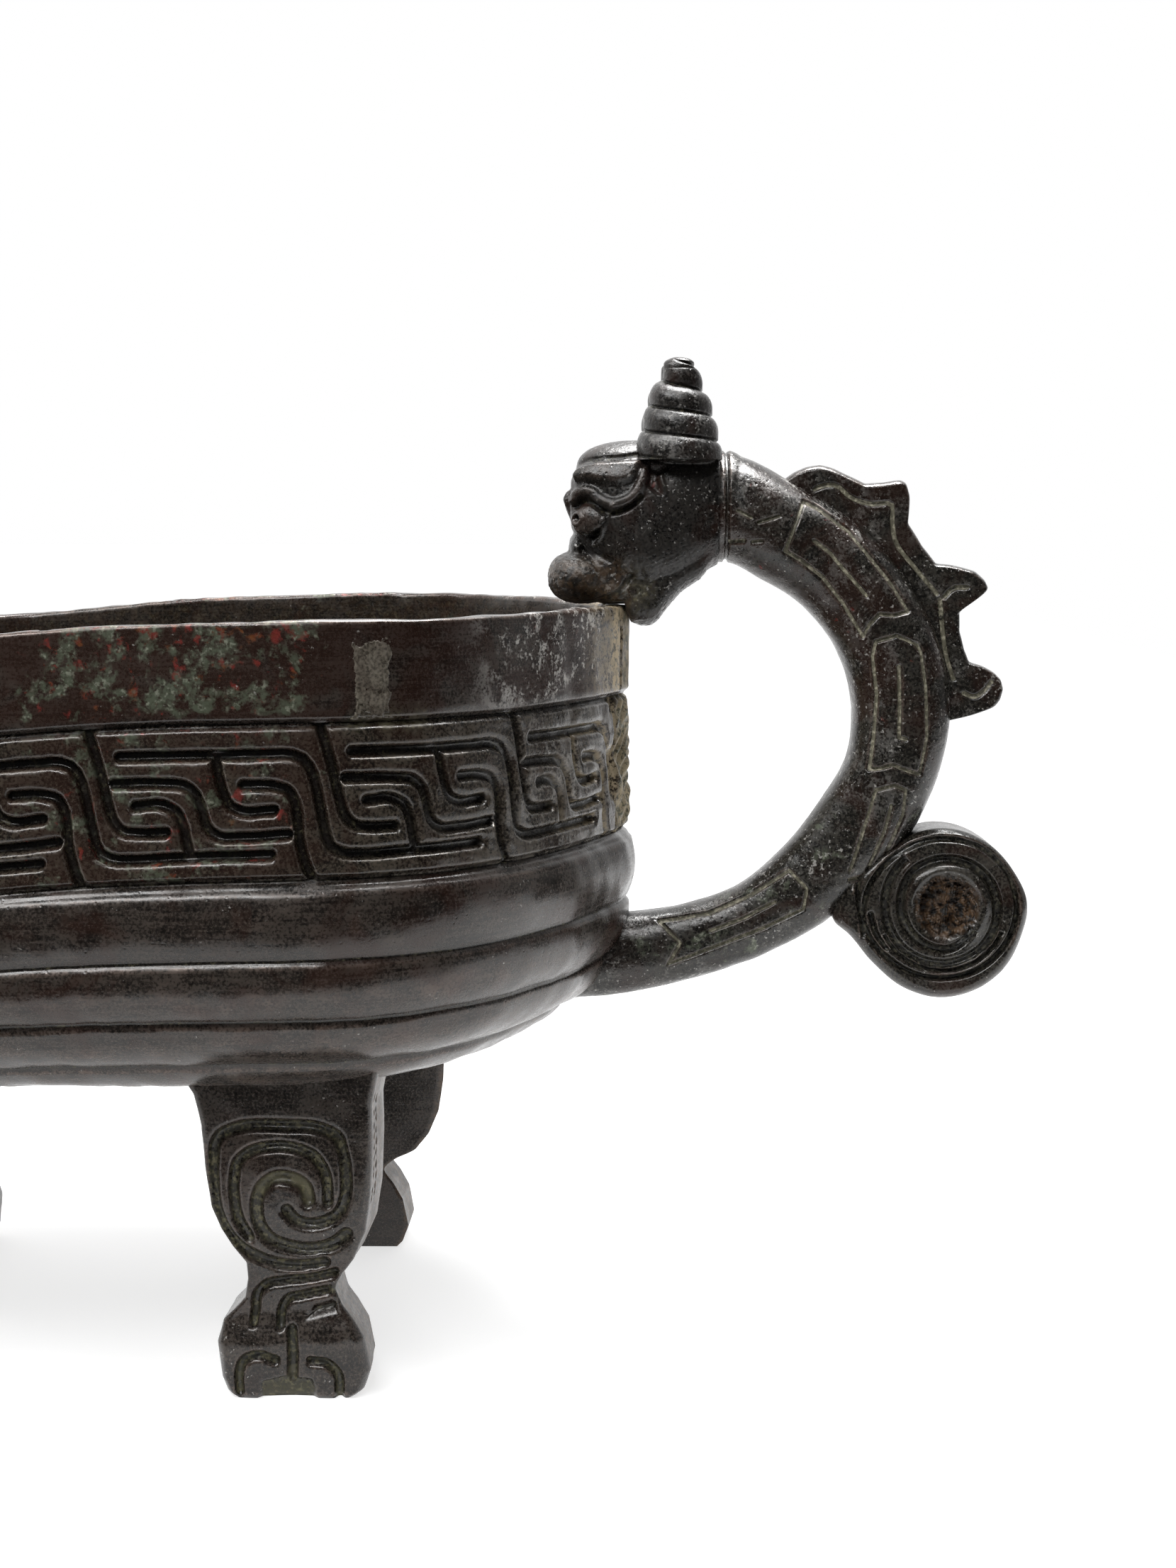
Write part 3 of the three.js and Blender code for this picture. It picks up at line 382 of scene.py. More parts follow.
class Graph:
    """A material's nodes, with short ways to add the ones that the finishes use."""

    def __init__(self, name: str) -> None:
        """Starts a material with its output and the piece's own places.

        Args:
            name: Name of the material.
        """
        self.material = bpy.data.materials.new(name)
        self.material.use_nodes = True
        self.tree = self.material.node_tree
        self.tree.nodes.clear()
        self.output = self.tree.nodes.new("ShaderNodeOutputMaterial")
        self.place = self.tree.nodes.new("ShaderNodeTexCoord").outputs["Object"]

    def feed(self, socket: Socket, value: object) -> None:
        """Links a socket to another, or sets it to a plain value.

        Args:
            socket: The socket that takes the value.
            value: Another socket, a number or a colour.
        """
        if isinstance(value, Socket):
            self.tree.links.new(value, socket)
        elif isinstance(value, tuple) and len(value) == 3 and socket.type == "RGBA":
            socket.default_value = (*value, 1.0)
        else:
            socket.default_value = value

    def stretched(self, sideways: float, upright: float) -> Socket:
        """Squeezes places so that noise on them draws out level or upright.

        Args:
            sideways: Scale along both level axes.
            upright: Scale along the upright axis.

        Returns:
            The squeezed places.
        """
        node = self.tree.nodes.new("ShaderNodeMapping")
        self.feed(node.inputs["Vector"], self.place)
        node.inputs["Scale"].default_value = (sideways, sideways, upright)
        return node.outputs["Vector"]

    def noise(self, grain_mm: float, detail: float, warp: float = 0.0,
              place: Socket | None = None) -> Socket:
        """Adds cloudy noise.

        Args:
            grain_mm: About how wide its blotches are.
            detail: How many finer layers it has.
            warp: How much it is swirled.
            place: Places that it is read at, if not the piece's own.

        Returns:
            Values from 0 to 1, mostly near the middle.
        """
        node = self.tree.nodes.new("ShaderNodeTexNoise")
        self.feed(node.inputs["Vector"], place or self.place)
        node.inputs["Scale"].default_value = 1.0 / (grain_mm * MM)
        node.inputs["Detail"].default_value = detail
        node.inputs["Roughness"].default_value = NOISE_ROUGHNESS
        node.inputs["Distortion"].default_value = warp
        return node.outputs["Fac"]

    def cells(self, grain_mm: float) -> Socket:
        """Adds scattered points.

        Args:
            grain_mm: About how far apart they lie.

        Returns:
            Distance to the nearest point, in grains.
        """
        node = self.tree.nodes.new("ShaderNodeTexVoronoi")
        self.feed(node.inputs["Vector"], self.place)
        node.inputs["Scale"].default_value = 1.0 / (grain_mm * MM)
        return node.outputs["Distance"]

    def mark(self, mark: Marks) -> Socket:
        """Reads a value that the piece carries at its vertices.

        Args:
            mark: Which value.

        Returns:
            The value, 0 where the piece has none.
        """
        node = self.tree.nodes.new("ShaderNodeAttribute")
        node.attribute_name = mark.value
        return node.outputs["Fac"]

    def math(self, step: str, a: object, b: object) -> Socket:
        """Adds one sum.

        Args:
            step: Blender's name for the sum.
            a: First value.
            b: Second value.

        Returns:
            The result, held between 0 and 1.
        """
        node = self.tree.nodes.new("ShaderNodeMath")
        node.operation = step
        node.use_clamp = True
        self.feed(node.inputs[0], a)
        self.feed(node.inputs[1], b)
        return node.outputs[0]

    def times(self, a: object, b: object) -> Socket:
        """The product of two values."""
        return self.math("MULTIPLY", a, b)

    def most(self, a: object, b: object) -> Socket:
        """The larger of two values."""
        return self.math("MAXIMUM", a, b)

    def total(self, a: object, b: object) -> Socket:
        """The sum of two values, at most 1."""
        return self.math("ADD", a, b)

    def mean(self, a: object, b: object, share: float) -> Socket:
        """A weighted mean of two values."""
        return self.total(self.times(a, 1.0 - share), self.times(b, share))

    def between(self, value: object, low: float, high: float,
                start: float = 0.0, end: float = 1.0) -> Socket:
        """Adds a soft step.

        Args:
            value: The value that drives it.
            low: Where the step begins.
            high: Where it ends.
            start: Result below low.
            end: Result above high.

        Returns:
            The stepped value.
        """
        node = self.tree.nodes.new("ShaderNodeMapRange")
        node.interpolation_type = "SMOOTHSTEP"
        self.feed(node.inputs["Value"], value)
        for name, number in (("From Min", low), ("From Max", high),
                             ("To Min", start), ("To Max", end)):
            node.inputs[name].default_value = number
        return node.outputs["Result"]

    def layer(self, under: object, over: object, share: object) -> Socket:
        """Lays one colour over another.

        Args:
            under: The lower colour.
            over: The upper colour.
            share: How much the upper one covers.

        Returns:
            The mixed colour.
        """
        node = self.tree.nodes.new("ShaderNodeMix")
        node.data_type = "RGBA"
        self.feed(node.inputs[MIX_SHARE], share)
        self.feed(node.inputs[MIX_UNDER], under)
        self.feed(node.inputs[MIX_OVER], over)
        return node.outputs[MIX_RESULT]

    def bump(self, height: object, rise_mm: float, under: object = None) -> Socket:
        """Adds fine relief.

        Args:
            height: Height from 0 to 1.
            rise_mm: What a height of 1 stands for.
            under: Relief that this one lies on, if any.

        Returns:
            The surface's normal.
        """
        node = self.tree.nodes.new("ShaderNodeBump")
        node.inputs["Strength"].default_value = 1.0
        node.inputs["Distance"].default_value = rise_mm * MM
        self.feed(node.inputs["Height"], height)
        if under is not None:
            self.feed(node.inputs["Normal"], under)
        return node.outputs["Normal"]

    def finish(self, **sockets: object) -> bpy.types.Material:
        """Ends the graph in a principled shader.

        Args:
            sockets: Values or links by socket name, with _ for a space.

        Returns:
            The material.
        """
        shader = self.tree.nodes.new("ShaderNodeBsdfPrincipled")
        for name, value in sockets.items():
            self.feed(shader.inputs[name.replace("_", " ")], value)
        self.tree.links.new(shader.outputs[0], self.output.inputs["Surface"])
        return self.material


@dataclass(frozen=True)
class Patina:
    """Old cast bronze: dark skin, red and green corrosion, deposits, worn edges, painted shade and
    sheen.
    """

    name: str
    dark: Colour = (0.0058, 0.0047, 0.0040)
    skin: Colour = (0.0660, 0.0530, 0.0435)
    warm: Colour = (0.0300, 0.0125, 0.0080)
    cuprite: Colour = (0.215, 0.032, 0.026)
    rust: Colour = (0.190, 0.068, 0.024)
    malachite: Colour = (0.078, 0.090, 0.060)
    verdigris: Colour = (0.205, 0.218, 0.165)
    # Pale bloom colour, also used for the painted sheen at the rim band's rear end
    bloom: Colour = (0.60, 0.58, 0.545)
    silt: Colour = (0.018, 0.016, 0.009)
    deposit: Colour = (0.185, 0.168, 0.092)
    # Lighter edge colour: wear, and on the frieze also a painted highlight along the band lips
    worn: Colour = (0.26, 0.19, 0.155)
    earth: Colour = (0.165, 0.095, 0.045)
    ochre: Colour = (0.60, 0.485, 0.315)
    warm_share: float = 0.65
    red_share: float = 0.2
    green_share: float = 0.2
    speck_share: float = 0.35
    deposit_share: float = 0.5
    wear_share: float = 0.3
    smoothest: float = 0.16
    roughest: float = 0.38
    gloss: float = 0.55
    grain_mm: float = 0.05
    wiped: float = 0.4

    def patches(self, g: Graph, grain_mm: float, warp: float, pull: Socket,
                share: float) -> Socket:
        """Scatters patches of corrosion.

        Args:
            g: The material's graph.
            grain_mm: About how wide the patches are.
            warp: How much they are swirled.
            pull: How strongly they gather at each place.
            share: How much of the surface they cover, from 0 to 1.

        Returns:
            Values from 0 to 1, soft at the edge of each patch.
        """
        reach = 0.84 - 0.3 * share
        return g.between(g.total(g.noise(grain_mm, 8.0, warp), pull), reach, reach + 0.12)

    def stains(self, g: Graph, colour: Socket, grains: Socket) -> tuple[Socket, Socket]:
        """Lays red and green corrosion over the skin.

        Args:
            g: The material's graph.
            colour: The skin's colour.
            grains: Fine noise that mottles the stains.

        Returns:
            The stained colour, and how green it is.
        """
        pull = g.mark(Marks.RED)
        ruddy = g.total(g.noise(11.0, 6.0, 0.8), g.times(pull, 0.3))
        colour = g.layer(colour, self.warm, g.between(ruddy, 0.48, 0.68, 0.0, self.warm_share))
        red = self.patches(g, 2.3, 0.4, g.times(pull, 0.28), self.red_share)
        ore = g.layer(self.cuprite, self.rust, g.between(g.noise(5.0, 3.0), 0.48, 0.62))
        colour = g.layer(colour, ore, g.times(red, 0.75))
        green = self.patches(g, 4.2, 0.3, g.times(g.mark(Marks.GREEN), 0.42), self.green_share)
        mottle = g.between(g.mean(grains, g.noise(1.3, 4.0), 0.6), 0.38, 0.56)
        crust = g.layer(self.malachite, self.verdigris, g.between(g.noise(1.0, 4.0), 0.52, 0.66))
        return g.layer(colour, crust, g.times(green, mottle)), green

    def haze(self, g: Graph, grains: Socket) -> Socket:
        """Finds where pale bloom clouds the metal; at the rim band's rear end it is partly a
        painted sheen.

        Args:
            g: The material's graph.
            grains: Fine noise.

        Returns:
            How much of each place it covers.
        """
        runs = g.noise(3.2, 7.0, 0.3, g.stretched(1.0, 0.7))
        chalk = g.most(g.between(g.mean(runs, grains, 0.35), 0.51, 0.60, 0.0, 0.9),
                       g.between(g.noise(1.2, 5.0, 0.2), 0.57, 0.64))
        chalk = g.times(chalk, g.between(g.noise(6.0, 3.0, 0.4), 0.44, 0.56))
        return g.times(g.mark(Marks.BLOOM), chalk)

    def deposits(self, g: Graph, hollow: Socket, grains: Socket,
                 blotches: Socket) -> tuple[Socket, Socket]:
        """Settles olive earth in the cuts.

        Args:
            g: The material's graph.
            hollow: How deep each place lies.
            grains: Fine noise.
            blotches: Broad noise.

        Returns:
            The earth's colour, and how much of each place it covers.
        """
        olive = g.mark(Marks.OLIVE)
        start, end = 0.6 - 0.34 * self.deposit_share, 0.78 - 0.3 * self.deposit_share
        settled = g.times(g.between(hollow, 0.3, 0.75),
                          g.between(g.mean(g.noise(2.0, 6.0), grains, 0.45), start, end))
        settled = g.most(g.times(settled, self.deposit_share),
                         g.times(olive, g.between(blotches, 0.34, 0.6)))
        dry = g.most(g.between(g.noise(0.8, 4.0), 0.47, 0.62), g.times(olive, 0.65))
        return g.layer(self.silt, self.deposit, dry), settled

    def material(self) -> bpy.types.Material:
        """Builds the finish from its layers.

        Returns:
            The material.
        """
        g = Graph(self.name)
        blotches = g.noise(7.0, 6.0, 0.5)
        grains = g.noise(0.5, 4.0)
        wipes = g.noise(0.55, 5.0, 0.0, g.stretched(0.05, 1.0))
        tone = g.mean(blotches, g.mean(grains, wipes, self.wiped), 0.72)
        colour = g.layer(self.dark, self.skin, g.between(tone, 0.38, 0.64))
        colour, green = self.stains(g, colour, grains)
        specks = g.mean(g.noise(0.75, 3.0), g.noise(9.0, 4.0), 0.3)
        reach = 0.69 - 0.12 * self.speck_share
        colour = g.layer(colour, self.bloom, g.between(specks, reach, reach + 0.06, 0.0, 0.5))
        haze = self.haze(g, grains)
        # Pale bloom over the metal, partly a painted sheen at the rim band's rear end
        colour = g.layer(colour, self.bloom, haze)
        hollow = g.mark(Marks.HOLLOW)
        # Painted shade: hollows and cuts are darkened toward the dark tone
        colour = g.layer(colour, self.dark, g.between(hollow, 0.15, 0.85, 0.0, 0.85))
        grit, settled = self.deposits(g, hollow, grains, blotches)
        colour = g.layer(colour, grit, settled)
        # Proud edges take the lighter edge colour: wear, and on the frieze a painted highlight
        rubbed = g.times(g.between(g.mark(Marks.EDGE), 0.2, 0.9),
                         g.between(g.mean(g.noise(4.0, 5.0), grains, 0.3), 0.40, 0.6))
        rubbed = g.times(rubbed, self.wear_share)
        colour = g.layer(colour, self.worn, rubbed)
        scale = g.times(g.mark(Marks.OCHRE),
                        g.between(g.mean(g.noise(1.6, 6.0, 0.3), grains, 0.4), 0.42, 0.55))
        colour = g.layer(colour, self.ochre, scale)
        soil = g.mark(Marks.EARTH)
        ground = g.layer(self.earth, self.dark, g.between(g.noise(1.5, 8.0, 0.6), 0.40, 0.62))
        colour = g.layer(colour, ground, soil)
        rough = g.between(g.mean(g.mean(blotches, wipes, self.wiped), grains, 0.45),
                          0.34, 0.66, self.smoothest, self.roughest)
        rough = g.total(rough, g.times(g.most(g.most(soil, settled), scale), 0.35))
        rough = g.total(rough, g.times(g.most(green, haze), 0.14))
        pits = g.times(g.between(g.cells(1.6), 0.04, 0.2), g.between(g.cells(2.7), 0.03, 0.14))
        skin = g.mean(g.mean(grains, wipes, self.wiped), pits, 0.5)
        normal = g.bump(skin, self.grain_mm, g.bump(blotches, 0.12))
        metal = g.total(g.times(rubbed, 0.6), 0.1)
        return g.finish(Base_Color=colour, Roughness=rough, Metallic=metal, Normal=normal,
                        Specular_IOR_Level=self.gloss)


@dataclass(frozen=True)
class StudioFloor:
    """Matt white paper that the vessel stands on."""

    paper: Colour = (0.52, 0.52, 0.52)
    shade: Colour = (0.50, 0.50, 0.50)
    glow: float = 0.7

    def material(self) -> bpy.types.Material:
        """Builds the paper.

        Returns:
            The material.
        """
        g = Graph("studio_paper")
        colour = g.layer(self.paper, self.shade, g.noise(4.0, 4.0))
        return g.finish(Base_Color=colour, Roughness=0.9, Emission_Color=(1.0, 1.0, 1.0),
                        Emission_Strength=self.glow, Normal=g.bump(g.noise(0.8, 3.0), 0.02))


BOWL_FINISH = Patina("patina_bowl")
# The frieze's lighter, wider edge colour is partly a painted highlight along the lips of its bands
FRIEZE_FINISH = Patina("patina_frieze", skin=(0.0860, 0.0700, 0.0520), worn=(0.38, 0.34, 0.29),
                       warm_share=0.55, green_share=0.35, deposit_share=0.4, wear_share=0.55,
                       wiped=0.15)
LEG_FINISH = Patina("patina_leg", silt=(0.030, 0.028, 0.016), deposit=(0.170, 0.155, 0.085),
                    deposit_share=0.7, speck_share=0.5, warm_share=0.3, wiped=0.25)
HANDLE_FINISH = Patina("patina_handle", dark=(0.0050, 0.0046, 0.0040),
                       skin=(0.0380, 0.0345, 0.0280), silt=(0.130, 0.121, 0.084),
                       deposit=(0.390, 0.365, 0.275), warm_share=0.5, red_share=0.3,
                       green_share=0.35, deposit_share=1.0, speck_share=0.85, grain_mm=0.11,
                       wiped=0.0, smoothest=0.14)
TAIL_FINISH = Patina("patina_tail", dark=(0.0050, 0.0046, 0.0040), skin=(0.0480, 0.0430, 0.0345),
                     silt=(0.014, 0.013, 0.009), deposit=(0.135, 0.125, 0.085), warm_share=0.5,
                     red_share=0.3, green_share=0.3, deposit_share=0.6, speck_share=0.6,
                     earth=(0.085, 0.046, 0.020), grain_mm=0.06, wiped=0.0, smoothest=0.14)
HEAD_FINISH = Patina("patina_head", dark=(0.0045, 0.0040, 0.0036), skin=(0.0270, 0.0235, 0.0200),
                     speck_share=0.7, grain_mm=0.22, warm_share=0.5, wiped=0.0, smoothest=0.18,
                     roughest=0.44)
SPACER_FINISH = Patina("older_patina", dark=(0.038, 0.033, 0.025), skin=(0.205, 0.180, 0.138),
                       green_share=0.3, warm_share=0.35, roughest=0.7, wiped=0.1)


def dress(piece: bpy.types.Object, finish: Patina, node: str) -> None:
    """Gives a piece its finish and says which node of the frame it stands for.

    Args:
        piece: The finished object.
        finish: Its patina.
        node: Name of the node that the piece replaces.
    """
    material = bpy.data.materials.get(finish.name) or finish.material()
    piece.data.materials.append(material)
    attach(piece, BODY)
    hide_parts(node)
    LOG.info("%s: %d faces, for %s", piece.name, len(piece.data.polygons), node)


# Bowl


@dataclass(frozen=True)
class Row:
    """One line along the wall.

    It lies at a drop under the rim, at a share of the depth below the bands, or at a share
    of the floor's reach. It may be grown outward, sunk into the wall and rubbed bright.
    """

    drop: float | None = None
    share: float | None = None
    inward: float | None = None
    grow: float = 0.0
    sink: float = 0.0
    rub: float = 0.0


@dataclass
class Plan:
    """The rim line seen from above, from the near spout tip round the rear to the far one."""

    x: Array
    y: Array
    keel_x: Array
    normal: Array
    from_rear: Array

    def part(self, index: Array | slice) -> "Plan":
        """The stations that an index picks out."""
        return Plan(self.x[index], self.y[index], self.keel_x[index], self.normal[index],
                    self.from_rear[index])

    @property
    def level(self) -> Array:
        """Level unit vectors out of the wall, 1 by stations by 3."""
        return np.concatenate([self.normal, np.zeros((len(self.x), 1))], axis=1)[None]


@dataclass
class Zones:
    """Parts of the wall, as values that spread over its rows and stations."""

    drops: Array
    inside: Array
    band: Array
    stained: Array
    seam: Array


def backed(face: Array, plan: Plan, lift: Array, back: float) -> Array:
    """Raises a strip of the wall and gives it a flat back.

    Args:
        face: Places of the plain strip, rows by stations by 3.
        plan: Its stations.
        lift: How far each place is raised.
        back: How far the back lies behind the plain strip.

    Returns:
        The strip's places, closed round its front and back.
    """
    front = face + plan.level * lift[:, :, None]
    behind = face[[-1, 0]] - plan.level * back
    return np.concatenate([front, behind, front[:1]], axis=0)


@dataclass
class Bowl:
    """The oval bowl with its open spout, rim band and tile bands."""

    half_width: float = 69.0
    wall: float = 3.6
    rim_height: float = 137.0
    base_height: float = 51.6
    rear: float = 70.0
    side: float = 56.0
    shoulder: float = 76.0
    spout: float = 48.0
    spout_root: float = 31.0
    spout_tip: float = 27.0
    spout_depth: float = 48.0
    spout_lift: float = 12.0
    keel_rise: float = 98.0
    rim_dip: float = 5.0
    rim_band: float = 15.4
    border: float = 2.4
    border_depth: float = 1.0
    frieze: float = 23.4
    tile_bulge: float = 1.15
    tile_ledge: float = 0.5
    tile_edges: tuple[float, ...] = (0.0, 0.290, 0.546, 0.772, 0.932)
    tile_steps: tuple[float, ...] = (0.03, 0.07, 0.13, 0.22, 0.33, 0.45, 0.57, 0.69, 0.8, 0.89,
                                     0.95, 1.0)
    bands_share: float = 0.76
    seam: float = 8.2
    seam_width: float = 1.5
    seat: float = 2.4
    floor_start: float = 0.97
    inner_floor_start: float = 0.95
    lower_drop: float = 99.0
    stained: Span = (-112.0, 20.0, -44.0, 12.0)
    crusted: Span = (-48.0, 4.0, -32.0, 6.0)
    columns: int = 380
    crowding: float = 0.6

    @property
    def tip_x(self) -> float:
        """Where the spout ends."""
        return -(self.rear + self.side + self.shoulder + self.spout)

    @property
    def tiles_top(self) -> float:
        """Depth under the rim where the tile bands start."""
        return self.rim_band + self.frieze + 2.0 * self.border

    def half_width_at(self, x: Array) -> Array:
        """Finds how wide the outer wall is at the rim.

        Args:
            x: Places along the vessel.

        Returns:
            Half the width.
        """
        side_end = -self.rear - self.side
        shoulder_end = side_end - self.shoulder
        oval = blend(self.half_width, self.spout_root, smooth((side_end - x) / self.shoulder))
        lip = blend(self.spout_root, self.spout_tip, (shoulder_end - x) / self.spout)
        share = np.clip((x + self.rear) / self.rear, 0.0, 1.0)
        round_end = self.half_width * (1.0 - share**3) ** 0.9
        return np.where(x > -self.rear, round_end, np.where(x >= shoulder_end, oval, lip))

    def rim_at(self, x: Array) -> Array:
        """Finds how high the rim is.

        Args:
            x: Places along the vessel.

        Returns:
            Heights.
        """
        reach = 0.8 * (self.shoulder + self.spout)
        dip_centre = -self.rear - self.side - 0.25 * self.shoulder
        dip = self.rim_dip * np.exp(-(((x - dip_centre) / (0.6 * self.shoulder)) ** 2))
        return self.rim_height - dip + self.spout_lift * smooth((self.tip_x + reach - x) / reach)

    def keel_at(self, x: Array) -> Array:
        """Finds the outer underside on the plane of symmetry.

        Args:
            x: Places along the vessel.

        Returns:
            Heights.
        """
        tip = self.rim_at(np.asarray(self.tip_x)) - self.spout_depth
        rise = smooth((self.tip_x + self.keel_rise - x) / self.keel_rise)
        return blend(self.base_height, tip, rise)

    def squareness_at(self, x: Array) -> Array:
        """How square the lower wall is: full under the bowl, rounder under the spout."""
        reach = self.shoulder + self.spout
        return blend(3.0, 2.2, smooth((self.tip_x + reach - x) / reach))

    def band_scale_at(self, x: Array) -> Array:
        """The bands draw closer together where the spout is shallow."""
        depth = self.rim_at(x) - self.keel_at(x)
        return np.minimum(1.0, self.bands_share * depth / self.tiles_top)

    def plan(self, columns: int, crowding: float = 0.0) -> Plan:
        """Walks round the rim, with its corners eased.

        Args:
            columns: Steps in each half, from a spout tip to the rear end.
            crowding: How much closer the steps lie at the rear, from 0 to below 1.

        Returns:
            The stations, 2 * columns + 1 of them.
        """
        straight = np.linspace(self.tip_x, -self.rear, 600)
        share = np.linspace(0.0, 1.0, 900)[1:]
        x = np.concatenate([straight, self.rear * (share - 1.0)])
        y = -self.half_width_at(x)
        x = np.concatenate([x, x[-2::-1]])
        y = np.concatenate([y, -y[-2::-1]])
        arc = np.concatenate([[0.0], np.cumsum(np.hypot(np.diff(x), np.diff(y)))])
        even = np.linspace(0.0, arc[-1], 2401)
        x, y = np.interp(even, arc, x), np.interp(even, arc, y)
        reach = int(12.0 / even[1])
        kernel = np.exp(-0.5 * (np.arange(-reach, reach + 1) * even[1] / 4.0) ** 2)
        kernel /= kernel.sum()
        x = np.convolve(np.pad(x, reach, mode="reflect", reflect_type="odd"), kernel, "valid")
        y = np.convolve(np.pad(y, reach, mode="reflect", reflect_type="odd"), kernel, "valid")
        x, y = (x + x[::-1]) / 2.0, (y - y[::-1]) / 2.0
        share = np.linspace(-1.0, 1.0, 2 * columns + 1)
        wanted = arc[-1] / 2.0 * (1.0 + crowding * share**3 + (1.0 - crowding) * share)
        normal = np.stack([np.interp(wanted, even, np.gradient(y)),
                           np.interp(wanted, even, -np.gradient(x))], axis=1)
        normal /= np.linalg.norm(normal, axis=1, keepdims=True)
        x, y = np.interp(wanted, even, x), np.interp(wanted, even, y)
        return Plan(x, y, np.minimum(x, -self.rear), normal, np.abs(wanted - arc[-1] / 2.0))

    def surface(self, plan: Plan, rows: list[Row]) -> Array:
        """Lays out the wall before any bulge or groove.

        Args:
            plan: The stations round the rim.
            rows: The lines along the wall.

        Returns:
            Places, rows by stations by 3.
        """
        rim = self.rim_at(plan.x)
        power = self.squareness_at(plan.keel_x)
        bands = self.band_scale_at(plan.keel_x)
        top = bands * self.tiles_top
        lines = []
        for row in rows:
            keel = self.keel_at(plan.keel_x) - row.grow
            depth = rim - top - keel
            share, inward = np.zeros_like(rim), np.ones_like(rim)
            if row.share is not None:
                share = np.full_like(rim, row.share)
                inward = (1.0 - share**power) ** (1.0 / power)
            elif row.inward is not None:
                inward = row.inward * (1.0 - self.tile_edges[-1] ** power) ** (1.0 / power)
                share = (1.0 - inward**power) ** (1.0 / power)
            drop = row.drop * bands if row.drop is not None else top + share * depth
            x = blend(plan.keel_x, plan.x + plan.normal[:, 0] * row.grow, inward)
            y = inward * (plan.y + plan.normal[:, 1] * row.grow)
            lines.append(np.stack([x, y, rim - drop], axis=1))
        return np.array(lines)

    def tile_rows(self) -> list[Row]:
        """Lists the rows of the tile bands: a ledge at the top of each, then a bulge.

        Returns:
            The rows, downward.
        """
        rows = []
        for low, high in zip(self.tile_edges[:-1], self.tile_edges[1:]):
            for t in self.tile_steps:
                ledge = self.tile_ledge * float(smooth(t / 0.08)) * (1.0 - t) ** 0.6
                bulge = self.tile_bulge * math.sin(math.pi * t) ** 0.85
                rub = 0.8 if low > 0.0 and 0.05 < t < 0.1 else 0.0
                rows.append(Row(share=blend(low, high, t), sink=-ledge - bulge, rub=rub))
        return rows

    def outer_rows(self) -> list[Row]:
        """Lists the rows of the outside.

        Returns:
            The rows, from the keel up to the rim.
        """
        rows = [Row(drop=d) for d in (0.8, 1.4, 2.2, 3.4, 5.0, 7.0, 9.0, 11.0, 13.0, 14.4)]
        for t in np.linspace(0.0, 1.0, 6):
            rows.append(Row(drop=self.rim_band + t * self.border / 2.0,
                            sink=self.border_depth * float(smooth(t))))
        seat = self.rim_band + self.border / 2.0 + 0.04
        foot = self.tiles_top - self.border / 2.0
        rows += [Row(drop=drop, sink=self.seat)
                 for drop in (seat, seat + self.frieze / 2.0, foot - 0.04)]
        for t in np.linspace(0.0, 1.0, 6):
            rows.append(Row(drop=foot + t * self.border / 2.0,
                            sink=self.border_depth * float(1.0 - smooth(t))))
        rows += self.tile_rows()
        rows += [Row(inward=float(r)) for r in np.linspace(self.floor_start, 0.0, 14)]
        return rows[::-1]

    def rim_rows(self) -> list[Row]:
        """Rows over the rounded rim, from the outside to the inside."""
        return [Row(drop=0.35, grow=-0.08, rub=0.9), Row(drop=0.08, grow=-0.35, rub=0.5),
                Row(drop=0.0, grow=-0.9), Row(drop=-0.05, grow=-1.8), Row(drop=0.0, grow=-2.7),
                Row(drop=0.1, grow=-3.25), Row(drop=0.4, grow=-3.52)]

    def inner_rows(self) -> list[Row]:
        """Lists the rows of the inside.

        Returns:
            The rows, from the rim down to the keel.
        """
        rows = [Row(drop=d) for d in (1.0, 3.0, 7.0, 12.0, 18.0, 25.0, 33.0, 43.6)]
        rows += [Row(share=s) for s in (0.12, 0.25, 0.38, 0.5, 0.62, 0.72, 0.8, 0.87, 0.92)]
        rows += [Row(inward=float(r)) for r in np.linspace(self.inner_floor_start, 0.0, 9)]
        return [Row(r.drop, r.share, r.inward, -self.wall) for r in rows]

    def zones(self, plan: Plan, rows: list[Row]) -> Zones:
        """Sorts the wall into its parts.

        Args:
            plan: The stations round the rim.
            rows: The lines along the wall.

        Returns:
            Drops under the rim, and each part as shares from 0 to 1.
        """
        drops = np.array([self.lower_drop if r.drop is None else r.drop for r in rows])[:, None]
        inside = np.array([row.grow <= -self.wall for row in rows], float)[:, None]
        band = (1.0 - inside) * smooth(self.rim_band + 0.6 - drops)
        seam = band * channel(np.abs(plan.from_rear - self.seam), self.seam_width)
        return Zones(drops, inside, band, window(plan.x, *self.stained), seam)

